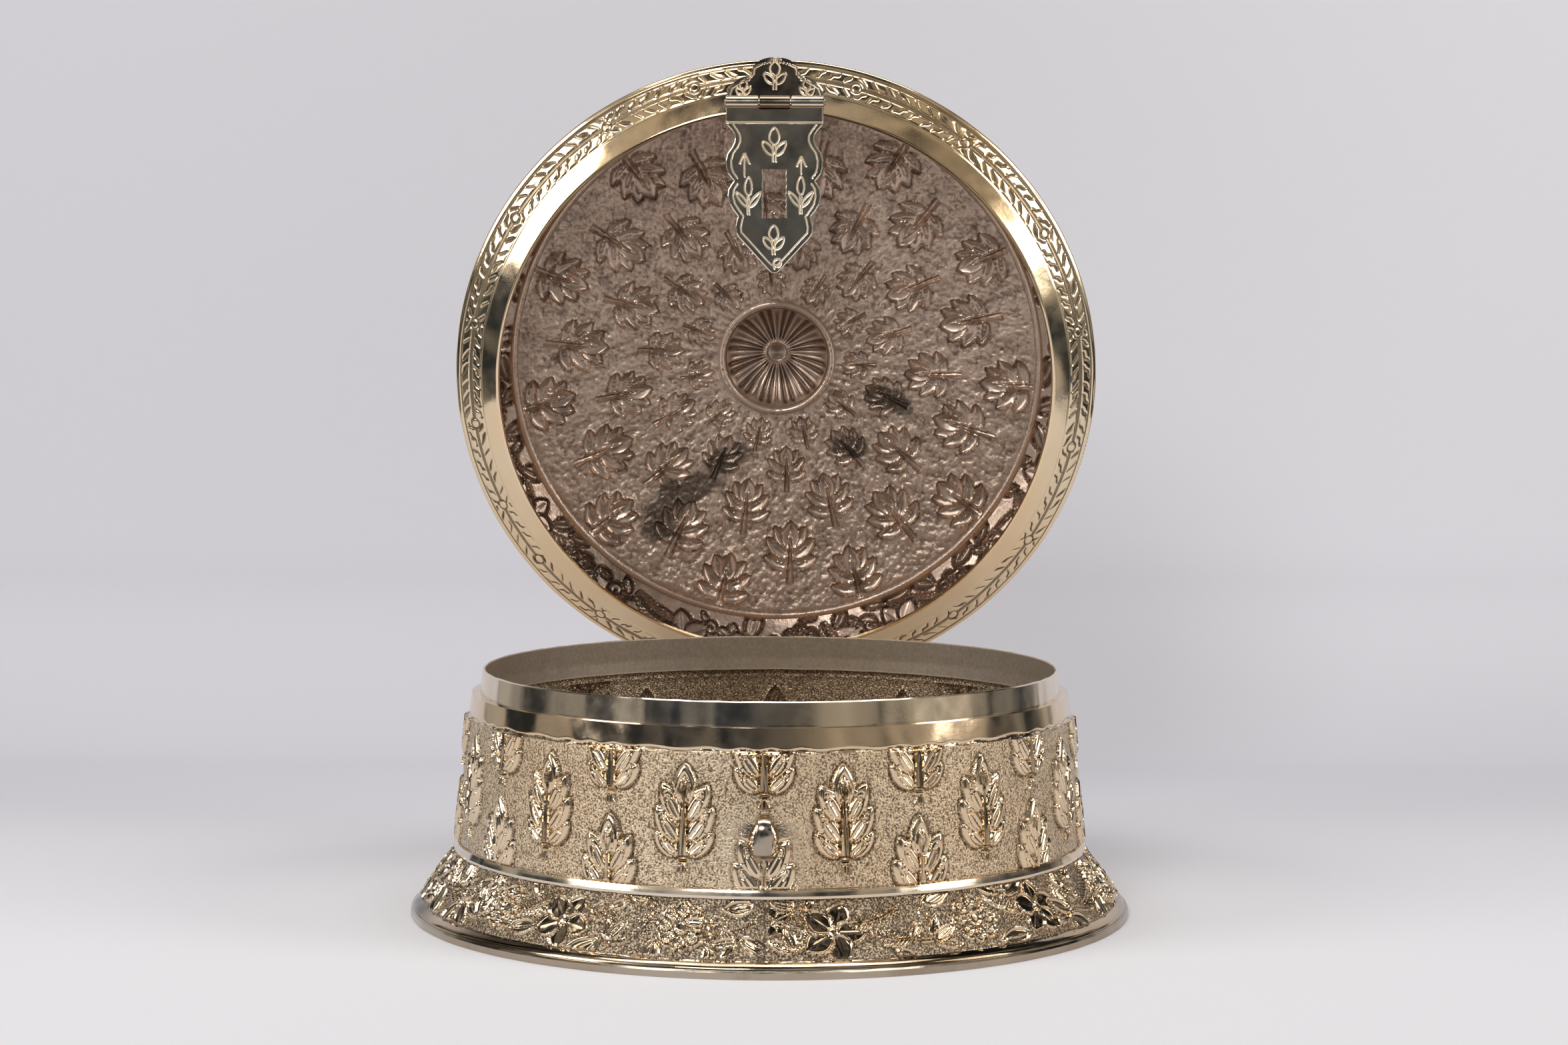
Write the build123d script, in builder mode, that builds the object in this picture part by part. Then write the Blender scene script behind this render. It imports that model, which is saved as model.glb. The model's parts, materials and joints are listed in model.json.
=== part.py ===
import os
from math import asin, cos, degrees, hypot, radians, sin, sqrt

from build123d import *

os.makedirs("parts", exist_ok=True)

# A round silver box with a flared foot, a rolled collar and a hinged lid that is caught by a hasp.
# Lengths are millimetres. Z points up, the hasp is at the front (-Y) and the lid hinge at the rear.
# The origin is the centre of the foot on the table.

# Sheet, wire and clearances
sheet = 1.0               # wall, foot, floor and lid sheet
leaf_sheet = 0.9          # hinge leaves
seat_gap = 0.3            # between the closed lid and the ledge that it rests on
side_gap = 0.3            # between knuckles, and around a knuckle in a leaf
running_gap = 0.05        # radial, between a hinge pin and its knuckles
fit_gap = 0.05            # round the floor plate in the wall
overrun = 12.0            # how far a cutting solid passes the piece that it trims

# Round the middle of the box, every radius follows from that of the ledge
ledge_radius = 91.2       # outside of the ledge on top of the wall

# Foot
foot_height = 21.3        # table to the seam between foot and wall
foot_spread = 14.4        # foot rim outside of the wall's lower edge
foot_rim_height = 2.4
foot_rim_bevel = 0.5
foot_rim_thick = 0.9
foot_lip = 4.6            # height of the steep lip above the table
foot_lip_lean = 2.4       # how far that lip leans in
foot_neck = 5.2           # height of the curve under the seam
foot_neck_flare = 2.6     # how far that curve runs out

# Wall, with a leafy field between two plain bands
wall_height = 39.9        # seam to the upper plain band
wall_flare = 3.5          # how far the wall runs out below that band
band_height = 6.3         # upper plain band
band_flare = 0.9          # how far the band runs out below the ledge
waist_height = 2.8        # lower plain band, laid over the seam
waist_thick = 0.6
floor_rise = 0.9          # underside of the floor plate above the seam

# Chased leaves: half an outline as points across and up from the leaf's middle, right side only
wall_leaf = [(0, 14.0), (2.3, 8.4), (5.2, 10.2), (5.2, 5.6), (7.9, 6.4), (6.9, 1.8), (8.9, 0.6),
             (6.9, -3.2), (8.2, -5.0), (3.6, -8.8), (1.3, -9.8), (2.1, -14.0)]
crown_leaf = [(0, 10.0), (1.8, 5.4), (4.8, 8.2), (4.6, 3.4), (8.3, 4.4), (6.7, 0.2), (9.7, -1.6),
              (4.9, -4.0), (1.5, -5.4), (1.2, -10.0)]
leaf_rise = 1.0           # leaf above the sheet round it
leaf_hollow = 0.9         # depth of its hollow side
hollow_share = 0.88       # size of the hollow's outline
skin_lap = 0.3            # how far a leaf's skin runs into the sheet or the hollow
wall_leaves = 12          # in each of three rows
middle_row = 42.3         # levels of the rows' middles
upper_row = 60.6
lower_row = 27.0
crown_leaves = 11         # in each ring on the lid
# Rings of leaves on the crown: radius of their middles, size, degrees from the front
crown_rings = [(79.0, 1.0, 30), (67.0, 1.0, 12), (52.5, 0.9, 29), (39.0, 0.75, 12)]

# Collar inside the ledge
collar_height = 7.1       # above the ledge
collar_depth = 4.0        # below the ledge
collar_inset = 2.5        # its outside, in from the ledge's edge
collar_taper = 0.7        # how far it leans in above the ledge
collar_thick = 0.9
collar_round = 0.3        # radius of its top edges

# Lid, measured as it lies closed
seat_lap = 0.2            # inner edge of the engraved strip, in from the ledge's edge
seat_width = 17.6         # up the slope of that strip, to the edge wire
seat_slope = 35.3         # degrees
edge_wire = 0.9           # radius of the wire round the widest edge
shoulder_rise = 15.4      # edge wire to the bead
bead_inset = 3.0          # centre of the bead wire, in from the ledge's edge
bead_wire = 1.5           # radius of the bead wire
shoulder_crown = 0.9      # how far the shoulder bows out
crown_rise = 11.6         # bead to the ring round the boss
boss_ring_radius = 18.7   # centre of that ring, from the lid's axis
boss_wire = 1.3           # radius of that ring's wire
boss_height = 8.2         # boss above its ring
boss_petals = 12
petal_groove = 0.55       # radius of the grooves between the petals
petal_turn = 6.0          # degrees round the boss's ball from its middle to where the grooves end
eye_radius = 3.4          # round eye in the middle of the boss
eye_height = 1.1

# Hinge barrels, alike on the lid hinge and the hasp
pin_radius = 1.0
barrel_radius = 2.2
pin_reach = 2.8           # pin axis outside the ledge
pin_drop = 1.1            # pin axis below the ledge
pin_end = 0.4             # pin standing out past the barrel
pin_chamfer = 0.25

# Lid hinge
hinge_width = 38.0
hinge_knuckles = 5
wall_leaf_drop = 7.5      # below the pin
leaf_corner = 2.0
lid_leaf_reach = 12.5     # up the strip from its inner edge

# Hasp
hasp_width = 31.4         # the barrel, from end to end
hasp_knuckle = 9.8        # the middle knuckle
hasp_plate = 1.0          # thickness
hasp_set = 0.85           # middle of the plate in front of the pin axis
hasp_length = 54.5        # pin axis to the tip
hasp_top_half = 15.55
hasp_top_drop = 6.0
hasp_neck_half = 12.7
hasp_neck_drop = 11.4
hasp_bulge_half = 15.6
hasp_bulge_drop = 18.5
hasp_cusp_half = 13.0
hasp_cusp_drop = 24.9
hasp_lobe_half = 15.0
hasp_lobe_drop = 29.8
hasp_waist_half = 11.7
hasp_waist_drop = 36.2
hasp_shoulder_half = 12.5
hasp_shoulder_drop = 39.6
hasp_tip_half = 1.9       # where the straight sides meet the rounded tip
hasp_tip_rise = 0.95      # height of that round
slot_width = 7.1
slot_height = 15.6
slot_drop = 29.0          # pin axis to the middle of the slot
trefoil_reach = 18.6      # top of the fixed leaf, up the strip from its inner edge
trefoil_side = 8.6        # height of its side lobes, up the same way
trefoil_notch_half = 9.0
trefoil_notch = 10.2
trefoil_lobe_half = 14.2

# Staple
staple_width = 5.0
staple_strip = 1.3
staple_height = 13.0
staple_reach = 7.5        # out from the wall
staple_corner = 4.2

# Pose: the lid stands open and the hasp hangs from it
lid_opening = 76.9        # degrees from closed

# Radii
wall_band_radius = ledge_radius + band_flare
wall_foot_radius = wall_band_radius + wall_flare
foot_radius = wall_foot_radius + foot_spread
collar_foot_radius = ledge_radius - collar_inset
collar_radius = collar_foot_radius - collar_taper
seat_radius = ledge_radius - seat_lap
bead_radius = ledge_radius - bead_inset

# Levels
wall_top = foot_height + wall_height
ledge_level = wall_top + band_height
collar_top = ledge_level + collar_height
pin_level = ledge_level - pin_drop
pin_offset = ledge_radius + pin_reach
seat_level = ledge_level + seat_gap

# Directions along the strip's slope and square to it, in a profile of radius and height
slope_out, slope_up = cos(radians(seat_slope)), sin(radians(seat_slope))


def on_strip(along, below=0.0):
    """Radius and height of a point along the strip's underside and below it."""
    return (seat_radius + along * slope_out + below * slope_up,
            seat_level + along * slope_up - below * slope_out)


def along_strip(radius, level):
    """The reverse: how far along the strip's underside and below it a point lies."""
    out, up = radius - seat_radius, level - seat_level
    return out * slope_out + up * slope_up, out * slope_up - up * slope_out


def wall_radius(level):
    """Outside radius of the wall at a level between the seam and the ledge."""
    if level < wall_top:
        return wall_band_radius + wall_flare * (wall_top - level) / wall_height
    return ledge_radius + band_flare * (ledge_level - level) / band_height


def write(name, piece, turned=0.0):
    """Label a finished piece, turn it about the lid hinge if it belongs to the lid, and store it."""
    lid_axis = Axis((0, pin_offset, pin_level), (-1, 0, 0))
    placed = piece.rotate(lid_axis, turned) if turned else piece
    placed.label = name
    export_step(placed, f"parts/{name}.step")


def polygon_face(plane, corners):
    """A face with straight sides."""
    with BuildSketch(plane) as face:
        with BuildLine():
            Polyline(*corners, close=True)
        make_face()
    return face.sketch


def disc_face(plane, centre, radius):
    """A round face."""
    with BuildSketch(plane) as face:
        with Locations(centre):
            Circle(radius)
    return face.sketch


def leaf_patch(plane, half_outline, share, skin):
    """A leaf-shaped piece of a turned skin. The leaf is drawn on a plane and passes through the skin."""
    right = [(share * across, share * up) for across, up in half_outline]
    left = [(-across, up) for across, up in reversed(right) if across]
    with BuildPart() as patch:
        extrude(polygon_face(plane, right + left), amount=foot_radius)
        revolve(skin, axis=Axis.Z, mode=Mode.INTERSECT)
    return patch.part


# Foot: a flared skirt with a steep lip, and the flat rim round its edge
skirt_edge = foot_radius - foot_rim_thick
lip_top = (skirt_edge - foot_lip_lean, foot_lip)
neck_end = (wall_foot_radius + foot_neck_flare, foot_height - foot_neck)
with BuildPart() as foot_skirt:
    with BuildSketch(Plane.XZ):
        with BuildLine():
            edge = Line((skirt_edge, 0), (skirt_edge, foot_rim_height))
            lip = TangentArc(edge @ 1, lip_top, tangent=(0, 1))
            Line(lip @ 1, neck_end)
            neck = TangentArc((wall_foot_radius, foot_height), neck_end, tangent=(0, -1))
            top = Line((wall_foot_radius, foot_height), (wall_foot_radius - sheet, foot_height))
            inner_neck = TangentArc(top @ 1, (neck_end[0] - sheet, neck_end[1]), tangent=(0, -1))
            inner_flare = Line(inner_neck @ 1, (lip_top[0] - sheet, lip_top[1]))
            inner_lip = TangentArc((skirt_edge - sheet, foot_rim_height), inner_flare @ 1, tangent=(0, 1))
            Polyline(inner_lip @ 0, (skirt_edge - sheet, 0), edge @ 0)
        make_face()
    revolve(axis=Axis.Z)
write("foot_skirt", foot_skirt.part)

with BuildPart() as foot_rim:
    with BuildSketch(Plane.XZ):
        with BuildLine():
            Polyline((skirt_edge, 0), (foot_radius, 0), (foot_radius, foot_rim_height - foot_rim_bevel),
                     (foot_radius - foot_rim_bevel, foot_rim_height), (skirt_edge, foot_rim_height),
                     close=True)
        make_face()
    revolve(axis=Axis.Z)
write("foot_rim", foot_rim.part)

waist_low = foot_height - waist_height / 2
waist_high = foot_height + waist_height / 2


# Wall: one sheet with three rows of chased leaves, whose top turns in to make the ledge
def wall_skin(inside, outside):
    """The part of the wall's field between two distances from its outer face, as a profile."""
    return polygon_face(Plane.XZ, [(wall_radius(level) + out, level) for level, out in (
        (waist_high, inside), (waist_high, outside), (wall_top, outside), (wall_top, inside))])


def wall_row(level):
    """One leaf of a row and its hollow."""
    plane = Plane(origin=(0, 0, level), x_dir=(1, 0, 0), z_dir=(0, -1, 0))
    return (leaf_patch(plane, wall_leaf, 1, wall_skin(-skin_lap, leaf_rise)),
            leaf_patch(plane, wall_leaf, hollow_share, wall_skin(-sheet - skin_lap, leaf_hollow - sheet)))


pitch = 360 / wall_leaves
# The staple stands where one low leaf would be, and the rear hinge where one high leaf would be
wall_rows = [(wall_row(middle_row), wall_leaves, pitch / 2),
             (wall_row(upper_row), wall_leaves - 1, pitch - 180),
             (wall_row(lower_row), wall_leaves - 1, pitch)]
with BuildPart() as body_wall:
    with BuildSketch(Plane.XZ):
        with BuildLine():
            Polyline((wall_foot_radius, foot_height), (wall_band_radius, wall_top),
                     (ledge_radius, ledge_level), (collar_foot_radius, ledge_level),
                     (collar_foot_radius, ledge_level - sheet), (ledge_radius - sheet, ledge_level - sheet),
                     (wall_band_radius - sheet, wall_top), (wall_foot_radius - sheet, foot_height),
                     close=True)
        make_face()
    revolve(axis=Axis.Z)
    for (raised, hollow), count, first in wall_rows:
        with PolarLocations(0, count, start_angle=first, angular_range=count * pitch):
            add(raised)
            add(hollow, mode=Mode.SUBTRACT)
write("body_wall", body_wall.part)

with BuildPart() as waist_band:
    with BuildSketch(Plane.XZ):
        with BuildLine():
            Polyline((wall_foot_radius, foot_height), (wall_radius(waist_high), waist_high),
                     (wall_radius(waist_high) + waist_thick, waist_high),
                     (wall_foot_radius + 2 * waist_thick, waist_low), (wall_foot_radius, waist_low),
                     close=True)
        make_face()
        # The foot's neck runs out behind the band's lower half
        with BuildLine():
            behind = TangentArc((wall_foot_radius, foot_height), neck_end, tangent=(0, -1))
            Polyline(behind @ 1, (0, neck_end[1]), (0, foot_height), behind @ 0)
        make_face(mode=Mode.SUBTRACT)
    revolve(axis=Axis.Z)
write("waist_band", waist_band.part)

floor_level = foot_height + floor_rise
with BuildPart() as floor_plate:
    with BuildSketch(Plane.XY.offset(floor_level)):
        Circle(wall_radius(floor_level + sheet) - sheet - fit_gap)
    extrude(amount=sheet)
write("floor_plate", floor_plate.part)

# Collar: a tapered strip soldered inside the turned-in ledge, with a rounded top edge
with BuildPart() as rim_collar:
    with BuildSketch(Plane.XZ):
        with BuildLine():
            Polyline((collar_radius, collar_top), (collar_foot_radius, ledge_level),
                     (collar_foot_radius, ledge_level - collar_depth),
                     (collar_foot_radius - collar_thick, ledge_level - collar_depth),
                     (collar_foot_radius - collar_thick, ledge_level),
                     (collar_radius - collar_thick, collar_top), close=True)
        make_face()
    revolve(axis=Axis.Z)
    fillet(rim_collar.edges().group_by(Axis.Z)[-1], radius=collar_round)
write("rim_collar", rim_collar.part)

# Lid: the strip, the edge wire, the shoulder, the bead, the crown and the boss
wire_centre = on_strip(seat_width, -edge_wire)
with BuildPart() as lid_seat_strip:
    with BuildSketch(Plane.XZ):
        with BuildLine():
            Polyline(on_strip(0), on_strip(seat_width), on_strip(seat_width, -sheet), on_strip(0, -sheet),
                     close=True)
        make_face()
        with Locations(wire_centre):
            Circle(edge_wire, mode=Mode.SUBTRACT)
    revolve(axis=Axis.Z)
write("lid_seat_strip", lid_seat_strip.part, lid_opening)

with BuildPart() as lid_edge_wire:
    with BuildSketch(Plane.XZ):
        with Locations(wire_centre):
            Circle(edge_wire)
    revolve(axis=Axis.Z)
write("lid_edge_wire", lid_edge_wire.part, lid_opening)

bead_centre = (bead_radius, wire_centre[1] + shoulder_rise)
shoulder_run = hypot(wire_centre[0] - bead_centre[0], shoulder_rise)
face_out = shoulder_rise / shoulder_run
face_up = (wire_centre[0] - bead_centre[0]) / shoulder_run


def beside_shoulder(point, distance):
    """A profile point moved square to the shoulder, outwards."""
    return point[0] + face_out * distance, point[1] + face_up * distance


shoulder_middle = ((wire_centre[0] + bead_centre[0]) / 2, (wire_centre[1] + bead_centre[1]) / 2)
with BuildPart() as lid_shoulder:
    with BuildSketch(Plane.XZ):
        with BuildLine():
            outer = ThreePointArc(beside_shoulder(wire_centre, sheet / 2),
                                  beside_shoulder(shoulder_middle, sheet / 2 + shoulder_crown),
                                  beside_shoulder(bead_centre, sheet / 2))
            inner = ThreePointArc(beside_shoulder(wire_centre, -sheet / 2),
                                  beside_shoulder(shoulder_middle, shoulder_crown - sheet / 2),
                                  beside_shoulder(bead_centre, -sheet / 2))
            Line(outer @ 0, inner @ 0)
            Line(outer @ 1, inner @ 1)
        make_face()
        with Locations(wire_centre):
            Circle(edge_wire, mode=Mode.SUBTRACT)
        with Locations(bead_centre):
            Circle(bead_wire, mode=Mode.SUBTRACT)
        with BuildLine():
            Polyline(on_strip(0), on_strip(seat_width), on_strip(seat_width, -sheet), on_strip(0, -sheet),
                     close=True)
        make_face(mode=Mode.SUBTRACT)
    revolve(axis=Axis.Z)
write("lid_shoulder", lid_shoulder.part, lid_opening)

with BuildPart() as lid_bead:
    with BuildSketch(Plane.XZ):
        with Locations(bead_centre):
            Circle(bead_wire)
    revolve(axis=Axis.Z)
write("lid_bead", lid_bead.part, lid_opening)

# The crown is part of a ball that is level at the middle of the lid
ring_centre = (boss_ring_radius, bead_centre[1] + crown_rise)


def crown_point(radius, ball_radius, ball_level):
    """A profile point on a ball centred on the lid's axis."""
    return radius, ball_level + sqrt(ball_radius ** 2 - radius ** 2)


crown_run = (bead_radius ** 2 - boss_ring_radius ** 2 - crown_rise ** 2) / (2 * crown_rise)
crown_size = hypot(bead_radius, crown_run)
crown_middle = bead_centre[1] - crown_run


def crown_skin(inside, outside, reach=bead_radius):
    """The part of the crown between two distances from the middle of its sheet, as a profile."""
    half_way = (reach + boss_ring_radius) / 2
    with BuildSketch(Plane.XZ) as skin:
        with BuildLine():
            over, under = (ThreePointArc(*(crown_point(radius, crown_size + out, crown_middle)
                                           for radius in (reach, half_way, boss_ring_radius)))
                           for out in (outside, inside))
            Line(over @ 0, under @ 0)
            Line(over @ 1, under @ 1)
        make_face()
    return skin.sketch


leaf_limit = bead_radius - 2 * bead_wire
crown_patches = []
for ring_radius, share, turn in crown_rings:
    plane = Plane(origin=(0, -ring_radius, 0), x_dir=(1, 0, 0), z_dir=(0, 0, 1))
    crown_patches.append((
        leaf_patch(plane, crown_leaf, share,
                   crown_skin(sheet / 2 - skin_lap, sheet / 2 + leaf_rise, leaf_limit)),
        leaf_patch(plane, crown_leaf, share * hollow_share,
                   crown_skin(-sheet / 2 - skin_lap, leaf_hollow - sheet / 2, leaf_limit)), turn))
with BuildPart() as lid_top_plate:
    with BuildSketch(Plane.XZ):
        add(crown_skin(-sheet / 2, sheet / 2))
        with Locations(bead_centre):
            Circle(bead_wire, mode=Mode.SUBTRACT)
        with Locations(ring_centre):
            Circle(boss_wire, mode=Mode.SUBTRACT)
    revolve(axis=Axis.Z)
    for raised, hollow, turn in crown_patches:
        with PolarLocations(0, crown_leaves, start_angle=turn):
            add(raised)
            add(hollow, mode=Mode.SUBTRACT)
write("lid_top_plate", lid_top_plate.part, lid_opening)

with BuildPart() as lid_boss_ring:
    with BuildSketch(Plane.XZ):
        with Locations(ring_centre):
            Circle(boss_wire)
    revolve(axis=Axis.Z)
write("lid_boss_ring", lid_boss_ring.part, lid_opening)

# Boss: a thin dome, grooved into petals round an eye that is pushed out from inside
boss_ball = (boss_ring_radius ** 2 + boss_height ** 2) / (2 * boss_height)
boss_middle = ring_centre[1] + boss_height - boss_ball
boss_inside = sqrt((boss_ball - sheet) ** 2 - (ring_centre[1] - boss_middle) ** 2)
boss_turn = degrees(asin(boss_ring_radius / boss_ball))
petal_start = radians(petal_turn)
with BuildPart() as groove:
    with BuildSketch(Plane(origin=(0, 0, boss_middle), x_dir=(0, 1, 0),
                           z_dir=(cos(petal_start), 0, -sin(petal_start)))):
        with Locations((0, boss_ball)):
            Circle(petal_groove)
    revolve(axis=Axis((0, 0, boss_middle), (0, 1, 0)), revolution_arc=boss_turn - petal_turn)

with BuildPart() as lid_boss:
    with BuildSketch(Plane.XZ):
        with BuildLine():
            outer = ThreePointArc((0, boss_middle + boss_ball),
                                  crown_point(boss_ring_radius / 2, boss_ball, boss_middle), ring_centre)
            inner = ThreePointArc((0, boss_middle + boss_ball - sheet),
                                  crown_point(boss_inside / 2, boss_ball - sheet, boss_middle),
                                  (boss_inside, ring_centre[1]))
            Line(outer @ 0, inner @ 0)
            Line(outer @ 1, inner @ 1)
        make_face()
        with Locations(ring_centre):
            Circle(boss_wire, mode=Mode.SUBTRACT)
    revolve(axis=Axis.Z)
    with PolarLocations(0, boss_petals):
        add(groove.part, mode=Mode.SUBTRACT)
    for reach, ball, mode in ((eye_radius, boss_ball, Mode.ADD),
                              (eye_radius - sheet, boss_ball - sheet, Mode.SUBTRACT)):
        with BuildSketch(Plane.XZ):
            with BuildLine():
                foot = crown_point(reach, ball, boss_middle)
                crest = TangentArc((0, boss_middle + ball + eye_height), foot, tangent=(1, 0))
                Polyline(crest @ 1, (0, foot[1]), crest @ 0)
            make_face()
        revolve(axis=Axis.Z, mode=mode)
write("lid_boss", lid_boss.part, lid_opening)

# Staple: a bent strip on the front of the wall, trimmed to the wall's cone
staple_level = pin_level - slot_drop
staple_root = wall_radius(staple_level)
with BuildPart() as hasp_staple:
    with BuildSketch(Plane.YZ):
        with Locations((-staple_root, staple_level)):
            RectangleRounded(2 * staple_reach, staple_height, staple_corner)
            RectangleRounded(2 * (staple_reach - staple_strip), staple_height - 2 * staple_strip,
                             staple_corner - staple_strip, mode=Mode.SUBTRACT)
    extrude(amount=staple_width / 2, both=True)
    with BuildSketch(Plane.XZ):
        with BuildLine():
            Polyline((0, foot_height), (wall_foot_radius, foot_height), (wall_band_radius, wall_top),
                     (0, wall_top), close=True)
        make_face()
    revolve(axis=Axis.Z, mode=Mode.SUBTRACT)
write("hasp_staple", hasp_staple.part)


# Hinge barrels: knuckles of one leaf, each a round with a neck that runs into the leaf
def barrel_spans(width, count, first):
    """Start and end of every other knuckle along X, counted from the first one."""
    pitch = (width + side_gap) / count
    return [(i * pitch - width / 2, (i + 1) * pitch - side_gap - width / 2) for i in range(first, count, 2)]


wall_spans = barrel_spans(hinge_width, hinge_knuckles, 0)
lid_spans = barrel_spans(hinge_width, hinge_knuckles, 1)
pin_along, pin_below = along_strip(pin_offset, pin_level)
knuckle_reach = barrel_radius + side_gap
leaf_start = pin_along + sqrt(knuckle_reach ** 2 - (pin_below - leaf_sheet) ** 2)
strip_neck = [on_strip(pin_along), on_strip(leaf_start + leaf_sheet),
              on_strip(leaf_start + leaf_sheet, leaf_sheet), on_strip(pin_along + barrel_radius, pin_below),
              on_strip(pin_along, pin_below)]
wall_leaf_top = pin_level - knuckle_reach
wall_neck = [(wall_radius(wall_leaf_top - leaf_sheet), wall_leaf_top - leaf_sheet),
             (wall_radius(wall_leaf_top - leaf_sheet) + leaf_sheet, wall_leaf_top - leaf_sheet),
             (pin_offset, pin_level - barrel_radius), (pin_offset, pin_level),
             (wall_radius(pin_level), pin_level)]

# Wall leaf: a patch bent round the wall's top, below the barrel
wall_leaf_low = pin_level - wall_leaf_drop
with BuildPart() as rear_hinge_wall_leaf:
    with BuildSketch(Plane.XZ):
        with BuildLine():
            Polyline((wall_radius(wall_leaf_low), wall_leaf_low), (wall_band_radius, wall_top),
                     (wall_radius(wall_leaf_top), wall_leaf_top),
                     (wall_radius(wall_leaf_top) + leaf_sheet, wall_leaf_top),
                     (wall_band_radius + leaf_sheet, wall_top),
                     (wall_radius(wall_leaf_low) + leaf_sheet, wall_leaf_low), close=True)
        make_face()
    revolve(axis=Axis.Z)
    with BuildSketch(Plane.XZ):
        with Locations((0, (wall_leaf_low + wall_leaf_top) / 2)):
            RectangleRounded(hinge_width, wall_leaf_top - wall_leaf_low, leaf_corner)
    extrude(amount=-(pin_offset + overrun), mode=Mode.INTERSECT)
    for start, end in wall_spans:
        extrude(disc_face(Plane.YZ.offset(start), (pin_offset, pin_level), barrel_radius),
                amount=end - start)
        extrude(polygon_face(Plane.YZ.offset(start), wall_neck), amount=end - start)
    extrude(disc_face(Plane.YZ, (pin_offset, pin_level), pin_radius + running_gap),
            amount=hinge_width, both=True, mode=Mode.SUBTRACT)
write("rear_hinge_wall_leaf", rear_hinge_wall_leaf.part)

# Lid leaf: a patch bent round the underside of the strip, behind the barrel
with BuildPart() as rear_hinge_lid_leaf:
    with BuildSketch(Plane.XZ):
        with BuildLine():
            Polyline(on_strip(leaf_start), on_strip(lid_leaf_reach), on_strip(lid_leaf_reach, leaf_sheet),
                     on_strip(leaf_start, leaf_sheet), close=True)
        make_face()
    revolve(axis=Axis.Z)
    with BuildSketch(Plane.XY.offset(pin_level)):
        with Locations((0, pin_offset)):
            RectangleRounded(hinge_width, 2 * lid_leaf_reach, leaf_corner)
    extrude(amount=lid_leaf_reach, mode=Mode.INTERSECT)
    for start, end in lid_spans:
        extrude(disc_face(Plane.YZ.offset(start), (pin_offset, pin_level), barrel_radius),
                amount=end - start)
        extrude(polygon_face(Plane.YZ.offset(start), strip_neck), amount=end - start)
    extrude(disc_face(Plane.YZ, (pin_offset, pin_level), pin_radius + running_gap),
            amount=hinge_width, both=True, mode=Mode.SUBTRACT)
write("rear_hinge_lid_leaf", rear_hinge_lid_leaf.part, lid_opening)

with BuildPart() as rear_hinge_pin:
    with BuildSketch(Plane.YZ):
        with Locations((pin_offset, pin_level)):
            Circle(pin_radius)
    extrude(amount=hinge_width / 2 + pin_end, both=True)
    chamfer(rear_hinge_pin.edges().filter_by(GeomType.CIRCLE), length=pin_chamfer)
write("rear_hinge_pin", rear_hinge_pin.part)

# Hasp's fixed leaf: a three-lobed patch bent round the strip, with the middle knuckle
strip_plane = Plane(origin=(0, -seat_radius, seat_level), x_dir=(1, 0, 0), z_dir=(0, -slope_up, -slope_out))
front_neck = [(-radius, level) for radius, level in strip_neck]
with BuildPart() as hasp_fixed_leaf:
    with BuildSketch(Plane.XZ):
        with BuildLine():
            Polyline(on_strip(leaf_start), on_strip(trefoil_reach + sheet),
                     on_strip(trefoil_reach + sheet, leaf_sheet), on_strip(leaf_start, leaf_sheet),
                     close=True)
        make_face()
    revolve(axis=Axis.Z)
    with BuildSketch(strip_plane):
        with BuildLine():
            base = Line((0, 0), (hasp_width / 2, 0))
            side = Line(base @ 1, (hasp_width / 2, leaf_start))
            lobe = ThreePointArc(side @ 1, (trefoil_lobe_half, trefoil_side),
                                 (trefoil_notch_half, trefoil_notch))
            crest = ThreePointArc(lobe @ 1, (trefoil_notch_half / 2 + sheet, trefoil_reach - sheet),
                                  (0, trefoil_reach))
            mirror(about=Plane.YZ)
        make_face()
    extrude(amount=overrun, both=True, mode=Mode.INTERSECT)
    extrude(disc_face(Plane.YZ.offset(-hasp_knuckle / 2), (-pin_offset, pin_level), barrel_radius),
            amount=hasp_knuckle)
    extrude(polygon_face(Plane.YZ.offset(-hasp_knuckle / 2), front_neck), amount=hasp_knuckle)
    extrude(disc_face(Plane.YZ, (-pin_offset, pin_level), pin_radius + running_gap),
            amount=hasp_width, both=True, mode=Mode.SUBTRACT)
write("hasp_fixed_leaf", hasp_fixed_leaf.part, lid_opening)

# Where the hasp's pin stands when the lid is open
swing = radians(lid_opening)
hasp_y = pin_offset - 2 * pin_offset * cos(swing)
hasp_z = pin_level + 2 * pin_offset * sin(swing)

with BuildPart() as hasp_pin:
    with BuildSketch(Plane.YZ):
        with Locations((hasp_y, hasp_z)):
            Circle(pin_radius)
    extrude(amount=hasp_width / 2 + pin_end, both=True)
    chamfer(hasp_pin.edges().filter_by(GeomType.CIRCLE), length=pin_chamfer)
write("hasp_pin", hasp_pin.part)

# Hasp plate: hangs from the pin, with a scalloped outline and the slot that drops over the staple
plate_back = hasp_y - hasp_set + hasp_plate / 2
knuckle_room = hasp_knuckle / 2 + side_gap


def drop(half, down):
    """A point of the plate's outline, measured from the pin."""
    return half, hasp_z - down


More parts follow.
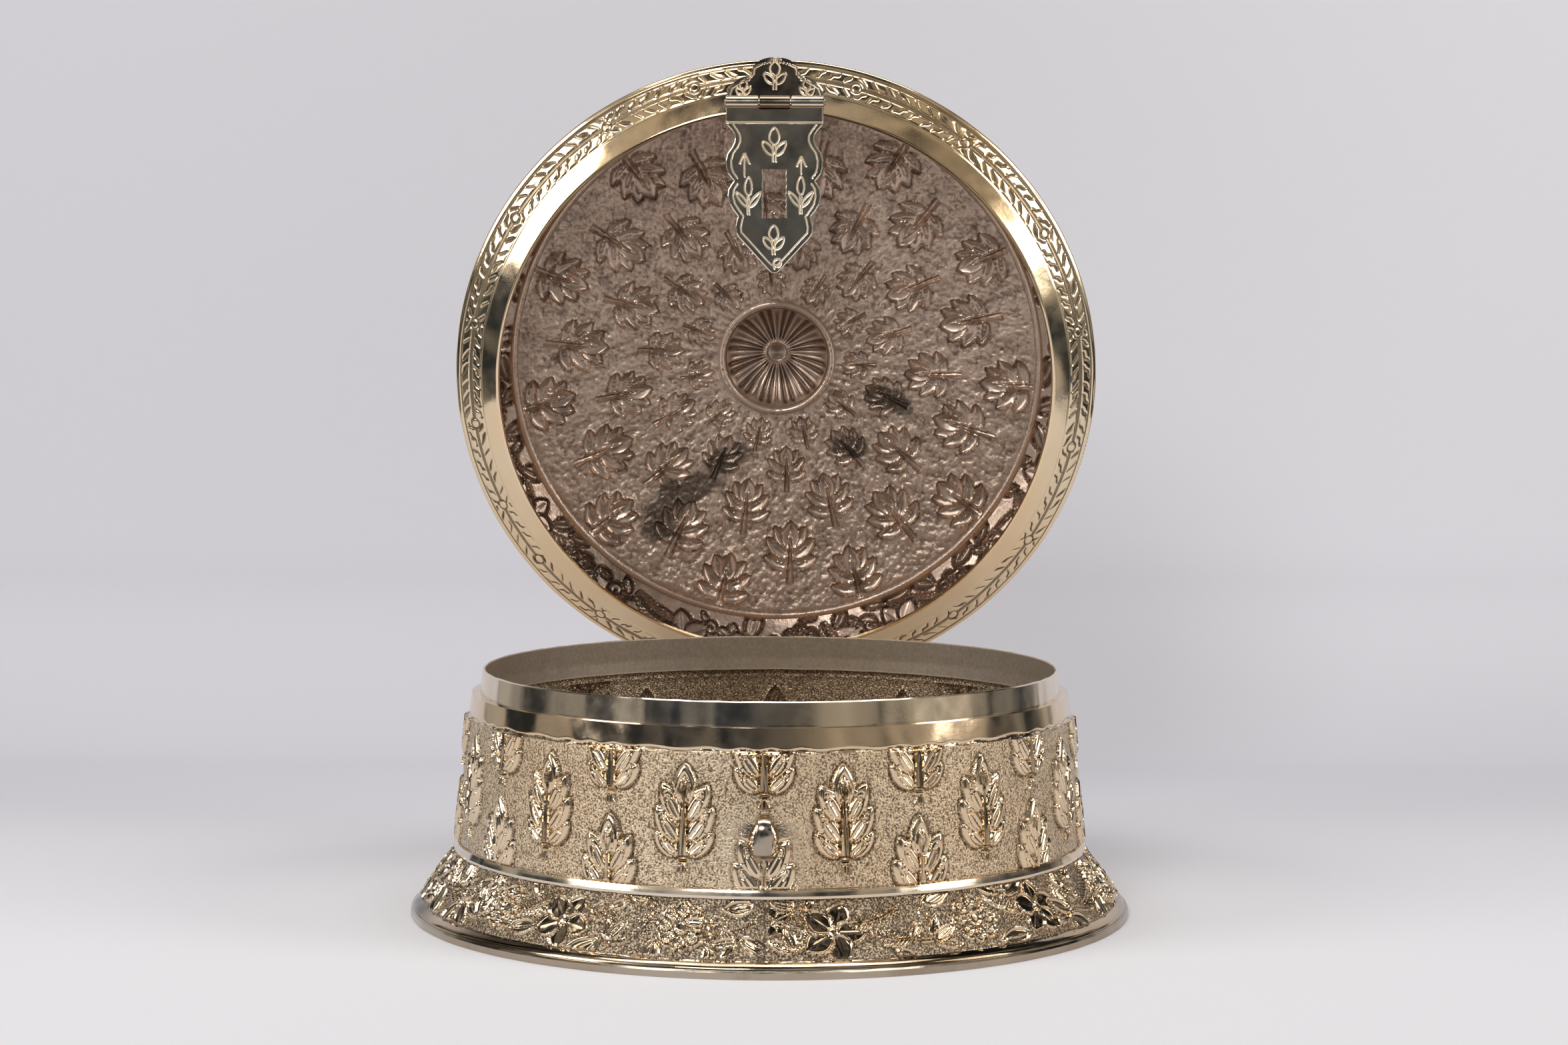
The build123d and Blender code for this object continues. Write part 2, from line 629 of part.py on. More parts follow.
with BuildPart() as hasp_plate_piece:
    with BuildSketch(Plane.XZ.offset(-plate_back)):
        with BuildLine():
            top = Line((0, hasp_z), (hasp_top_half, hasp_z))
            band = Line(top @ 1, drop(hasp_top_half, hasp_top_drop))
            neck = ThreePointArc(band @ 1, drop(hasp_neck_half, hasp_neck_drop),
                                 drop((hasp_neck_half + hasp_bulge_half) / 2,
                                      (hasp_neck_drop + hasp_bulge_drop) / 2))
            bulge = TangentArc(neck @ 1, drop(hasp_bulge_half, hasp_bulge_drop), tangent=neck % 1)
            under = ThreePointArc(bulge @ 1, drop((2 * hasp_bulge_half + hasp_cusp_half) / 3,
                                                  (hasp_bulge_drop + hasp_cusp_drop) / 2),
                                  drop(hasp_cusp_half, hasp_cusp_drop))
            lobe = ThreePointArc(under @ 1, drop(hasp_lobe_half, hasp_lobe_drop),
                                 drop(hasp_waist_half, hasp_waist_drop))
            shoulder = ThreePointArc(lobe @ 1, drop(hasp_shoulder_half, hasp_shoulder_drop),
                                     drop(hasp_waist_half, 2 * hasp_shoulder_drop - hasp_waist_drop))
            run = Line(shoulder @ 1, drop(hasp_tip_half, hasp_length - hasp_tip_rise))
            TangentArc(drop(0, hasp_length), run @ 1, tangent=(1, 0))
            mirror(about=Plane.YZ)
        make_face()
        with Locations((0, hasp_z - slot_drop)):
            Rectangle(slot_width, slot_height, mode=Mode.SUBTRACT)
    extrude(amount=hasp_plate)
    for side in (-1, 1):
        inner, outer = side * knuckle_room, side * hasp_width / 2
        extrude(disc_face(Plane.YZ.offset(inner), (hasp_y, hasp_z), barrel_radius), amount=outer - inner)
    extrude(disc_face(Plane.YZ, (hasp_y, hasp_z), pin_radius + running_gap),
            amount=hasp_width, both=True, mode=Mode.SUBTRACT)
    extrude(disc_face(Plane.YZ, (hasp_y, hasp_z), knuckle_reach), amount=knuckle_room, both=True,
            mode=Mode.SUBTRACT)
write("hasp_plate", hasp_plate_piece.part)
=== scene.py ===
import json
import math

import bpy
import numpy as np
from mathutils import Matrix


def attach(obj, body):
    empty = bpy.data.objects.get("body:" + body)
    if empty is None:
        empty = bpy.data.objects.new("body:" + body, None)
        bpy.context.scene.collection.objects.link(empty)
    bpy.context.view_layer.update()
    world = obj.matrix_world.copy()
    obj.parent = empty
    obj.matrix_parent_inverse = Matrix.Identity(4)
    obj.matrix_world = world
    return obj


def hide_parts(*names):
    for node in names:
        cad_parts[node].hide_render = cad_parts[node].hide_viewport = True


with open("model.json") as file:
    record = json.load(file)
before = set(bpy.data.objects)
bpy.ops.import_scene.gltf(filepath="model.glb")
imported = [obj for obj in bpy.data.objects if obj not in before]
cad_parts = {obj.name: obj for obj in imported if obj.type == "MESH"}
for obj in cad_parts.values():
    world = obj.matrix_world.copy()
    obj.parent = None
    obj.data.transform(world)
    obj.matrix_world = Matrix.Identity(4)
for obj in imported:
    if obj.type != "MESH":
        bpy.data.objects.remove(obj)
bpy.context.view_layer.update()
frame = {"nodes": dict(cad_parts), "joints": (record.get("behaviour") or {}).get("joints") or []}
print("frame loaded")

# Lengths are millimetres until a mesh is stored. Angles start at the front and grow to the right
metre = 0.001
fullTurn = 2 * math.pi
sharpAngle = math.radians(38)
random = np.random.default_rng(7)
joints = {joint["name"]: joint for joint in frame["joints"]}
hingeY, hingeZ = (value / metre for value in joints["lid_hinge"]["pos_m"][1:])
lidOpening = math.radians(joints["lid_hinge"]["range_deg"][1])
haspY, haspZ = (value / metre for value in joints["hasp_hang"]["pos_m"][1:])


# Meshes: a grid of points has one row for each point of a profile and one column for each step round
def gridFaces(rows, columns, closedRows=False, closedColumns=True):
    row = np.arange(rows if closedRows else rows - 1)[:, None]
    column = np.arange(columns if closedColumns else columns - 1)[None, :]
    nextRow, nextColumn = (row + 1) % rows, (column + 1) % columns
    corners = [row * columns + column, row * columns + nextColumn,
               nextRow * columns + nextColumn, nextRow * columns + column]
    return np.stack(np.broadcast_arrays(*corners), -1).reshape(-1, 4)


def joined(parts):
    points, faces, count = [], [], 0
    for partPoints, partFaces in parts:
        points.append(partPoints.reshape(-1, 3))
        faces.append(partFaces + count)
        count += len(points[-1])
    return np.concatenate(points), np.concatenate(faces)


def openLid(points):
    turned = points.copy()
    y, z = points[..., 1] - hingeY, points[..., 2] - hingeZ
    turned[..., 1] = hingeY + y * math.cos(lidOpening) + z * math.sin(lidOpening)
    turned[..., 2] = hingeZ - y * math.sin(lidOpening) + z * math.cos(lidOpening)
    return turned


def linked(name, data):
    made = bpy.data.objects.new(name, data)
    bpy.context.scene.collection.objects.link(made)
    return made


def addPiece(name, points, body, cadNode, slotName, look, faces=None, **fields):
    # Without faces, the points are a grid that closes both ways. Lid pieces are measured with the lid closed
    if faces is None:
        faces = gridFaces(*points.shape[:2], closedRows=True)
    points = points.reshape(-1, 3)
    if body == "lid":
        points = openLid(points)
    mesh = bpy.data.meshes.new(name)
    mesh.vertices.add(len(points))
    mesh.vertices.foreach_set("co", (points * metre).astype(np.float32).ravel())
    mesh.loops.add(faces.size)
    mesh.loops.foreach_set("vertex_index", faces.astype(np.int32).ravel())
    mesh.polygons.add(len(faces))
    mesh.polygons.foreach_set("loop_start", np.arange(0, faces.size, 4, dtype=np.int32))
    mesh.update(calc_edges=True)
    mesh.validate()
    mesh.shade_smooth()
    mesh.set_sharp_from_angle(angle=sharpAngle)
    for fieldName, values in fields.items():
        field = mesh.attributes.new(fieldName, "FLOAT", "POINT")
        field.data.foreach_set("value", values.astype(np.float32).ravel())
    mesh.materials.append(looks[look])
    piece = linked(name, mesh)
    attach(piece, body)
    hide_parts(cadNode)


# Profiles are rows of radius and height. Their outer side lies to the right of the way they run
def divided(corners, step):
    corners = np.array(corners, float)
    rows = [corners[:1]]
    for start, end in zip(corners[:-1], corners[1:]):
        count = max(1, math.ceil(np.linalg.norm(end - start) / step))
        rows.append(start + (end - start) * np.linspace(0, 1, count + 1)[1:, None])
    return np.concatenate(rows)


def bent(start, pull, end, count):
    t = np.linspace(0, 1, count + 1)[:, None]
    start, pull, end = (np.array(point, float) for point in (start, pull, end))
    return (1 - t) ** 2 * start + 2 * t * (1 - t) * pull + t ** 2 * end


def outward(profile):
    along = np.gradient(profile, axis=0)
    along /= np.linalg.norm(along, axis=1)[:, None]
    return np.stack([along[:, 1], -along[:, 0]], 1)


def turned(profile, angles, push=0.0, normals=None):
    if normals is None:
        normals = outward(profile)
    radius = profile[:, :1] + normals[:, :1] * push + 0 * angles
    level = profile[:, 1:] + normals[:, 1:] * push + 0 * angles
    return np.stack([radius * np.sin(angles), -radius * np.cos(angles), level], -1)


def stepsRound(columns):
    return np.arange(columns) * fullTurn / columns


def pathLength(profile):
    return np.concatenate([[0], np.cumsum(np.linalg.norm(np.diff(profile, axis=0), axis=1))])


def folded(outer, inner, outerStep=1, innerStep=1):
    # Rows of a sheet's outer side, then those of its inner side on the way back
    return np.concatenate([outer[::outerStep], inner[::-innerStep]])


def skin(line, angles, push, shifts, outerStep=1):
    # Both sides of a sheet, each at its own distance from the line
    normals = outward(line)
    sides = [line + normals * shift for shift in shifts]
    return turned(folded(*sides, outerStep), angles, folded(push, push, outerStep),
                  folded(normals, normals, outerStep))


# Relief: heights above the sheet for points given across and up a surface
def smooth(low, high, value):
    t = np.clip((value - low) / (high - low), 0, 1)
    return t * t * (3 - 2 * t)


def nearest(angle, centres):
    centres = np.asarray(centres)
    away = (angle[..., None] - centres + math.pi) % fullTurn - math.pi
    pick = np.abs(away).argmin(-1)
    return np.take_along_axis(away, pick[..., None], -1)[..., 0], pick


def lobe(x, y, base, lean, length, half):
    # How far inside a pointed lobe's outline each point lies, and its place across and along the lobe
    lean = math.radians(lean)
    along = ((x - base[0]) * math.sin(lean) + (y - base[1]) * math.cos(lean)) / length
    across = (x - base[0]) * math.cos(lean) - (y - base[1]) * math.sin(lean)
    t = np.clip(along, 0, 1)
    inside = 2.5 * half * t ** 0.6 * (1 - t) ** 0.75 - np.abs(across) - length * np.abs(along - t)
    return inside, across, along


def ridge(distance, half):
    return np.exp(-(distance / half) ** 2)


def dome(share):
    # Height of a round bump, from the square of the share of its radius
    return np.sqrt(np.clip(1 - share, 0, 1))


def leaned(x, y, lean):
    return x * np.cos(lean) + y * np.sin(lean), y * np.cos(lean) - x * np.sin(lean)


def spiral(x, y, turns, reach, side):
    radius, angle = np.hypot(x, y), side * np.arctan2(y, x)
    best = np.full(np.shape(radius), 9.0)
    for turn in range(math.ceil(turns) + 1):
        total = angle + fullTurn * turn
        line = reach * (1 - total / (fullTurn * turns))
        best = np.where((total > 0) & (total < fullTurn * turns), np.minimum(best, abs(radius - line)), best)
    return ridge(best, 0.42)


def wandering(angles, levels, waves, length, count=16):
    # A random swell over rows of levels and columns of angles
    levels = np.reshape(levels, (-1, 1))
    total = np.zeros((len(levels), len(angles)))
    for _ in range(count):
        turns, lean = random.integers(1, waves), random.uniform(-1, 1) * fullTurn / length
        total += np.sin(turns * angles + lean * levels + random.uniform(0, fullTurn))
    return total / math.sqrt(count)


def lattice(x, y, cell, seed):
    # Smooth random bumps of one cell's size
    table = np.random.default_rng(seed).uniform(-1, 1, (256, 256))
    u, v = x / cell + 512, y / cell + 512
    i, j = np.floor(u).astype(int), np.floor(v).astype(int)
    s, t = u - i, v - j
    s, t = s * s * (3 - 2 * s), t * t * (3 - 2 * t)
    i, j, ii, jj = i % 256, j % 256, (i + 1) % 256, (j + 1) % 256
    return ((table[i, j] * (1 - s) + table[ii, j] * s) * (1 - t)
            + (table[i, jj] * (1 - s) + table[ii, jj] * s) * t)


def alongRound(angle, radius):
    # Distance round the box, with its start at the rear
    return ((angle + math.pi) % fullTurn) * radius


# Chased leaves, measured from their middle: lobes by base, lean, length and half width from the lowest up,
# a tapered rib, dots between the lobes, the width over which a lobe's edge rounds, and its inner drop
leafKinds = {
    "wall": {"lobes": [(1.1, -10.3, 48, 9.5, 2.8), (1.2, -6.6, 36, 11.6, 3.1), (0.9, -1.2, 29, 11.6, 2.9),
                       (0, 3.0, 0, 11.6, 3.3)],
             "rib": (-10.3, 8.8, 0.12, 0.066), "dots": [(3.2, 9.0), (5.8, 2.4), (6.1, -4.2)],
             "round": 1.5, "drop": True},
    "lid": {"lobes": [(0.6, -4.6, 74, 8.8, 2.3), (0.6, -1.6, 54, 9.6, 2.6), (0.5, 1.6, 36, 8.4, 2.4),
                      (0, 0.6, 0, 9.8, 3.0)],
            "rib": (-10.8, 5.0, 0.25, 0.07), "dots": [], "round": 2.2, "drop": False},
}


def leafRelief(x, y, kind):
    spec = leafKinds[kind]
    side = np.abs(x)
    height, reach = np.zeros(x.shape), np.full(x.shape, -9.0)
    for *base, lean, length, half in spec["lobes"]:
        inside, across, along = lobe(side, y, base, lean, length, half)
        shape = 0.2 + 0.8 * dome(1 - inside / spec["round"])
        shape = shape - 0.28 * ridge(across, 0.26) * smooth(0.66, 0.58, along)
        if spec["drop"]:
            # A drop inside the lobe, with a ring punched near its end
            drop = lobe(side, y, base, lean - 3, length * 0.78, half * 0.56)[0]
            fromEnd = np.hypot(across, (along - 0.62) * length)
            shape = shape - 0.3 * ridge(drop, 0.26) + 0.12 * smooth(0, 0.8, drop)
            shape = shape - 0.28 * ridge(fromEnd - 0.55, 0.2)
        height = np.where(inside > 0, shape, height)
        reach = np.maximum(reach, inside)
    low, high, half, grow = spec["rib"]
    ribHalf = half + grow * (high - y)
    onRib = (y > low) & (y < high)
    rib = 0.95 - 0.45 * ridge(side, 0.5 * np.abs(ribHalf) + 0.05)
    beside = height - 0.4 * ridge(side - ribHalf - 0.25, 0.25) * (height > 0)
    height = np.where(onRib, np.where(side < ribHalf, rib, beside), height)
    for dotX, dotY in spec["dots"]:
        height = np.maximum(height, 0.9 * dome(((side - dotX) ** 2 + (y - dotY) ** 2) / 0.3))
    if kind == "wall":
        # Two bars across the stem and a forked tail below them
        bars = smooth(1.35, 1.1, side) * (ridge(y + 10.9, 0.35) + ridge(y + 12.0, 0.35))
        forked = 0.9 + 0.55 * np.clip(-12.4 - y, 0, 3)
        tail = smooth(forked, forked - 0.4, side) * (y > -14.6) * (y < -12.4) * (1 - 0.6 * ridge(side, 0.35))
        height = np.maximum.reduce([height, bars * 0.8, tail * 0.8])
    return np.where(height > 0.04, np.minimum(height, 1.2), -0.3 * ridge(reach + 0.35, 0.35))


def laid(under, over):
    return np.where(np.abs(over) > np.abs(under), over, under)


def corded(inside, flat=0.35):
    # A petal with a raised cord along its outline and a low middle
    return np.where(inside > 0, flat * smooth(0, 0.3, inside) + (1 - flat) * ridge(inside - 0.55, 0.42), 0)


def petals(x, y, lobes, rib=0.0):
    height = np.zeros(x.shape)
    for base, lean, length, half in lobes:
        inside, across, along = lobe(x, y, base, lean, length, half)
        made = corded(inside) + rib * ridge(across, 0.3) * (inside > 0.6) * (along < 0.8)
        height = np.where(inside > 0, made, height)
    return height


def daisy(x, y):
    radius, angle = np.hypot(x, y), np.arctan2(y, x)
    beat = ((angle * 8 / fullTurn + 0.5) % 1 - 0.5) * fullTurn / 8
    height = corded(6.1 + 1.3 * dome((beat * 8 / math.pi) ** 2) - radius, 0.3)
    out, across = radius * np.cos(beat) - 4.4, radius * np.sin(beat)
    petal = 1.55 * (1 - np.hypot(out / 1.95, across / 1.55))
    height = np.where(petal > 0, corded(petal, 0.45), height)
    return np.where(radius < 2.4, corded(2.4 - radius, 0.5), height)


def blossom(x, y):
    lobes = []
    for lean in range(20, 380, 72):
        turn = math.radians(lean)
        lobes.append(((0.5 * math.sin(turn), 0.5 * math.cos(turn)), lean, 7.8, 3.6))
    return np.maximum(petals(x, y, lobes, 0.15), 1.05 * dome((x * x + y * y) / 2.6))


def feather(x, y):
    length, bend = 17.0, 0.022
    across = np.abs(y - bend * x * x)
    t = np.clip(x / length + 0.5, 0, 1)
    inside = 3.4 * np.sqrt(4 * t * (1 - t)) - across
    barbs = (0.34 + 0.2 * np.cos((x + 0.9 * across) * fullTurn / 1.5)) * (inside > 0)
    return np.maximum(barbs, 0.95 * ridge(across - 0.4, 0.3) * (np.abs(x) < length * 0.48))


def bud(x, y):
    lobes = [((0.3, -3.2), 42, 8.0, 1.9), ((-0.3, -3.2), -42, 8.0, 1.9), ((0, -3.4), 0, 9.0, 2.1)]
    return petals(x, y, lobes, 0.35)


def curl(x, y):
    return np.maximum(0.95 * spiral(x, y, 1.6, 4.2, 1), petals(x, y, [((2.5, 1.5), 60, 6.5, 1.9)], 0.3))

def loose(x, y):
    return petals(x, y, [((0, -3.6), 0, 7.2, 2.2)], 0.4)


motifKinds = {motif.__name__: motif for motif in (daisy, blossom, feather, bud, curl, loose)}
# Kind, degrees from the front, height up the band as a share of it, lean in degrees, size
frontMotifs = [
    ("blossom", -76, 0.50, 10, 1.0), ("feather", -67, 0.52, -35, 1.0), ("curl", -59.5, 0.58, 0, 1.1),
    ("bud", -54, 0.42, 25, 1.1), ("daisy", -47, 0.50, 0, 0.95), ("feather", -40, 0.62, 25, 0.85),
    ("blossom", -34, 0.46, -10, 1.05), ("curl", -27.5, 0.64, 0, 0.95), ("bud", -24, 0.34, -35, 0.9),
    ("feather", -19.3, 0.55, 60, 0.8), ("daisy", -13.0, 0.52, 0, 1.0), ("curl", -7.6, 0.60, 150, 0.95),
    ("bud", -5.6, 0.28, 100, 0.8), ("blossom", 1.6, 0.62, 30, 0.6), ("bud", 4.4, 0.30, 20, 1.0),
    ("blossom", 11.0, 0.44, 0, 1.1), ("curl", 5.8, 0.70, 20, 0.7), ("feather", 18.6, 0.64, 18, 0.95),
    ("feather", 20.4, 0.30, -10, 0.75), ("curl", 27.0, 0.66, 200, 1.0), ("bud", 29.0, 0.30, -60, 1.0),
    ("daisy", 36.0, 0.50, 0, 1.0), ("feather", 43.0, 0.56, -25, 0.95), ("blossom", 50.5, 0.50, 15, 1.0),
    ("bud", 57.0, 0.40, 60, 1.1), ("curl", 62.5, 0.58, 30, 1.0), ("feather", 69.0, 0.5, 30, 1.0),
    ("daisy", 77.5, 0.50, 0, 1.0), ("bud", 85.0, 0.5, 0, 1.2),
]
frieze = {"motifSize": 1.1, "motifReach": 11, "looseCount": 1200, "looseSizes": (1.9, 0.95), "looseReach": 5,
          "overlap": 0.1, "vineWaves": 9, "vineSwing": 0.27, "border": 0.8}


def floralRelief(angles, up, radius, bandHeight, shift=0.0):
    # The front half's motifs come again at the rear, and loose leaves fill the gaps where they hardly overlap
    height = np.zeros((len(up), len(angles)))
    placed = [(kind, degrees + half + shift, share, lean, size * frieze["motifSize"])
              for kind, degrees, share, lean, size in frontMotifs for half in (0, 180)]
    placed += [("loose", random.uniform(-180, 180), random.uniform(0.0, 1.0), random.uniform(0, 360), size)
               for size in np.linspace(*frieze["looseSizes"], frieze["looseCount"])]
    for kind, degrees, share, lean, size in placed:
        away = (angles - math.radians(degrees) + math.pi) % fullTurn - math.pi
        reach = frieze["looseReach" if kind == "loose" else "motifReach"] * size
        near = np.nonzero(np.abs(away) * radius < reach)[0]
        x = away[near][None, :] * radius / size
        y = (up[:, None] - share * bandHeight) / size
        made = motifKinds[kind](*leaned(x, y, math.radians(lean)))
        overlap = ((height[:, near] > 0.05) * (made > 0)).sum()
        if kind == "loose" and overlap > frieze["overlap"] * (made > 0).sum():
            continue
        height[:, near] = np.where(made > 0.05, made, height[:, near])
    middle = (0.5 + frieze["vineSwing"] * np.sin(angles * frieze["vineWaves"] + 0.6)) * bandHeight
    fromVine = np.abs(up[:, None] - middle)
    height = np.where(height > 0.05, height, 0.85 * ridge(fromVine - 0.55, 0.33))
    edge = smooth(0, frieze["border"], up) * smooth(bandHeight, bandHeight - frieze["border"], up)
    return height * edge[:, None]


# Materials: silver whose bright parts, recesses and punched ground follow the relief stored with a mesh
def node(tree, kind, links=None, **settings):
    made = tree.nodes.new("ShaderNode" + kind)
    for key, value in settings.items():
        setattr(made, key, value)
    for socket, value in (links or {}).items():
        if isinstance(value, bpy.types.NodeSocket):
            tree.links.new(value, made.inputs[socket])
        else:
            made.inputs[socket].default_value = value
    return made


def mixed(tree, share, first, second):
    mix = node(tree, "Mix", {0: share}, data_type="RGBA")
    for socket, value in ((6, first), (7, second)):
        if isinstance(value, bpy.types.NodeSocket):
            tree.links.new(value, mix.inputs[socket])
        else:
            mix.inputs[socket].default_value = (*value, 1)
    return mix.outputs[2]


def ramp(tree, value, fromLow, fromHigh, toLow=0.0, toHigh=1.0):
    links = {0: value, 1: fromLow, 2: fromHigh, 3: toLow, 4: toHigh}
    return node(tree, "MapRange", links, interpolation_type="SMOOTHSTEP").outputs[0]


def maths(tree, operation, first, second):
    return node(tree, "Math", {0: first, 1: second}, operation=operation).outputs[0]


def noise(tree, place, scale, detail=4.0, roughness=0.55):
    return node(tree, "TexNoise", {"Vector": place, "Scale": scale, "Detail": detail,
                                   "Roughness": roughness}).outputs["Fac"]


def stored(tree, name):
    return node(tree, "Attribute", attribute_name=name).outputs["Fac"]


def silver(name, look):
    material = bpy.data.materials.new(name)
    material.use_nodes = True
    tree = material.node_tree
    shader = tree.nodes["Principled BSDF"]
    place = node(tree, "TexCoord").outputs["Object"]
    relief, ground, smear = (stored(tree, field) for field in ("relief", "ground", "smear"))
    patches = noise(tree, place, look["patchScale"])
    # Fine pale specks scattered over the colour are painted glints
    glintSpecks = noise(tree, place, 900.0, 3.0)
    # Colour: recesses are darker, and warm and dull patches wander over everything
    bright = mixed(tree, ramp(tree, patches, 0.35, 0.65), look["bright"], look["warm"])
    cells = noise(tree, place, look["punch"], 1.0, 0.5)
    # Painted highlight: the ground's colour is paler where the punch marks of the bump stand up, and darker
    # in their dimples
    punchHighlight = maths(tree, "MULTIPLY", ground, look["punchHighlight"])
    punchHighlights = maths(tree, "MULTIPLY", maths(tree, "SUBTRACT", cells, 0.5), punchHighlight)
    raised = maths(tree, "ADD", relief, maths(tree, "MULTIPLY", glintSpecks, 0.2))
    raised = maths(tree, "ADD", raised, punchHighlights)
    colour = mixed(tree, ramp(tree, raised, 0.08, 0.9), look["recess"], bright)
    stains = noise(tree, place, look["stainScale"], 7.0, 0.68)
    stained = ramp(tree, stains, look["stainFrom"], look["stainFrom"] + 0.13, 0.0, look["stainShare"])
    stained = maths(tree, "MAXIMUM", stained, maths(tree, "MULTIPLY", smear, 0.8))
    tree.links.new(mixed(tree, stained, colour, look["stain"]), shader.inputs["Base Color"])
    # The punched ground is tarnished and scatters, the raised parts are rubbed bright
    tree.links.new(ramp(tree, ground, 0.0, 1.0, look["metal"], look["matteMetal"]), shader.inputs["Metallic"])
    rough = ramp(tree, ground, 0.0, 1.0, look["polish"], look["matte"])
    streaks = ramp(tree, noise(tree, place, 160.0, 5.0), 0.3, 0.7, -look["uneven"], look["uneven"])
    tree.links.new(maths(tree, "ADD", rough, streaks), shader.inputs["Roughness"])
    # Bump: punch marks on the ground, and faint scratches
    marks = maths(tree, "MULTIPLY", cells, ground)
    punched = node(tree, "Bump", {"Strength": look["punchStrength"], "Distance": 0.0004, "Height": marks})
    grain = node(tree, "Bump", {"Strength": look["grain"], "Distance": 0.0001,
                                "Height": noise(tree, place, look["grainScale"], 6.0),
                                "Normal": punched.outputs[0]})
    tree.links.new(grain.outputs[0], shader.inputs["Normal"])
    return material


plainLook = {
    "bright": (0.80, 0.71, 0.59), "warm": (0.78, 0.64, 0.47), "recess": (0.16, 0.11, 0.07),
    "stain": (0.30, 0.24, 0.18), "stainScale": 26.0, "stainFrom": 0.62, "stainShare": 0.35,
    "patchScale": 14.0, "metal": 1.0, "matteMetal": 0.5, "polish": 0.15, "matte": 0.5, "uneven": 0.04,
    "punch": 1900.0, "punchStrength": 0.0, "punchHighlight": 0.0, "grain": 0.10, "grainScale": 900.0,
}
chasedLook = {
    "bright": (0.80, 0.65, 0.47), "warm": (0.77, 0.585, 0.39), "recess": (0.17, 0.115, 0.065),
    "polish": 0.12, "matte": 0.38, "matteMetal": 0.6, "punchStrength": 1.0, "punchHighlight": 2.6,
}
# What each silver has different from the plain one
lookChanges = {
    "plain": {},
    "chased": chasedLook,
    "foot": {**chasedLook, "recess": (0.09, 0.062, 0.036), "bright": (0.72, 0.58, 0.42),
             "warm": (0.66, 0.50, 0.33)},
    "hollow": {"bright": (0.73, 0.565, 0.45), "warm": (0.66, 0.49, 0.38), "recess": (0.18, 0.12, 0.09),
               "stain": (0.10, 0.075, 0.055), "stainShare": 0.5, "stainScale": 20.0, "metal": 0.75,
               "matteMetal": 0.6, "polish": 0.3, "matte": 0.4, "uneven": 0.07, "punchStrength": 0.6,
               "punch": 900.0, "punchHighlight": 0.6, "grain": 0.2, "grainScale": 1200.0},
    "gilt": {"bright": (0.86, 0.70, 0.49), "warm": (0.85, 0.62, 0.37), "recess": (0.07, 0.042, 0.02),
             "polish": 0.12, "stainShare": 0.3},
    "hasp": {"bright": (0.82, 0.745, 0.63), "warm": (0.78, 0.67, 0.52), "recess": (0.78, 0.60, 0.38)},
    "dull": {"bright": (0.46, 0.40, 0.32), "warm": (0.38, 0.30, 0.22), "recess": (0.70, 0.53, 0.33),
             "stainShare": 0.6, "stainFrom": 0.5},
}
looks = {look: silver(look + "Silver", {**plainLook, **changes}) for look, changes in lookChanges.items()}
print("materials made")

# Wall: a matted field with three rows of leaves under a plain band, worked from inside
wall = {
    "seam": (95.6, 21.3), "field": (92.1, 61.2), "ledge": (91.2, 67.5), "lip": (88.7, 67.5), "sheet": 1.0,
    "middleRadius": 93.8, "leafRise": 1.35, "leavesRound": 13, "leafSize": 1.05, "plainBehind": 0.34,
    # Rows of leaves: where they start, as a share of the spacing, and the level of their middles
    "rows": {"middle": (0.5, 42.3), "upper": (0, 60.6), "lower": (0, 27.0)},
    "fieldLow": 22.6, "fieldHigh": 60.7, "punchMark": 0.9, "columns": 1800, "step": 0.33,
    "stapleFlat": 0.10, "stapleFlatTop": 44,
}


def wallRelief(angles, levels):
    angle, level = np.meshgrid(angles, levels)
    height = np.zeros(angle.shape)
    spacing = fullTurn / wall["leavesRound"]
    for rowName, (start, centre) in wall["rows"].items():
        away, _ = nearest(angle, spacing * (start + np.arange(wall["leavesRound"])))
        x, y = away * wall["middleRadius"] / wall["leafSize"], (level - centre) / wall["leafSize"]
        leaf = leafRelief(x, y, "wall")
        if rowName == "upper":
            # The rear hinge takes the place of the two leaves beside it
            leaf = leaf * (np.abs(angle - math.pi) > wall["plainBehind"])
        height = laid(height, leaf)
    # The low leaf behind the staple was hammered flat when the staple was fixed
    behindStaple = ridge(np.minimum(angle, fullTurn - angle), wall["stapleFlat"])
    behindStaple = behindStaple * smooth(wall["stapleFlatTop"], wall["stapleFlatTop"] - 4, level)
    height = height * (1 - 0.55 * behindStaple)
    field = smooth(wall["fieldLow"], wall["fieldLow"] + 0.5, level)
    field = field * smooth(wall["fieldHigh"] + 0.1, wall["fieldHigh"] - 0.4, level)
    height = height * field
    ground = field * (1 - smooth(0.02, 0.25, height)) * (1 - behindStaple)
    rolling = wandering(angles, levels, 40, 16) * (0.5 + 0.5 * (level > wall["fieldHigh"] + 0.3))
    border = wall["fieldHigh"] + 0.5 + 0.28 * np.sin(angle * 52 + 2 * np.sin(angle * 11))
    chased = ridge(level - border, 0.35)
    punched = lattice(alongRound(angle, wall["middleRadius"]), level, wall["punchMark"], 11) * ground
    push = wall["leafRise"] * height + 0.07 * rolling - 0.35 * chased + 0.07 * punched
    # Painted highlight: the punched ground is paler where its punch marks stand up
    onGround = 0.47 + 0.15 * punched + 1.3 * np.minimum(height, 0)
    colour = np.where(height > 0.02, 0.05 + 0.95 * smooth(0.1, 0.8, height), onGround)
    colour = colour - 0.8 * chased + 0.45 * behindStaple
    return push, height, ground, np.where(field > 0.5, colour, 1 - 0.6 * chased)


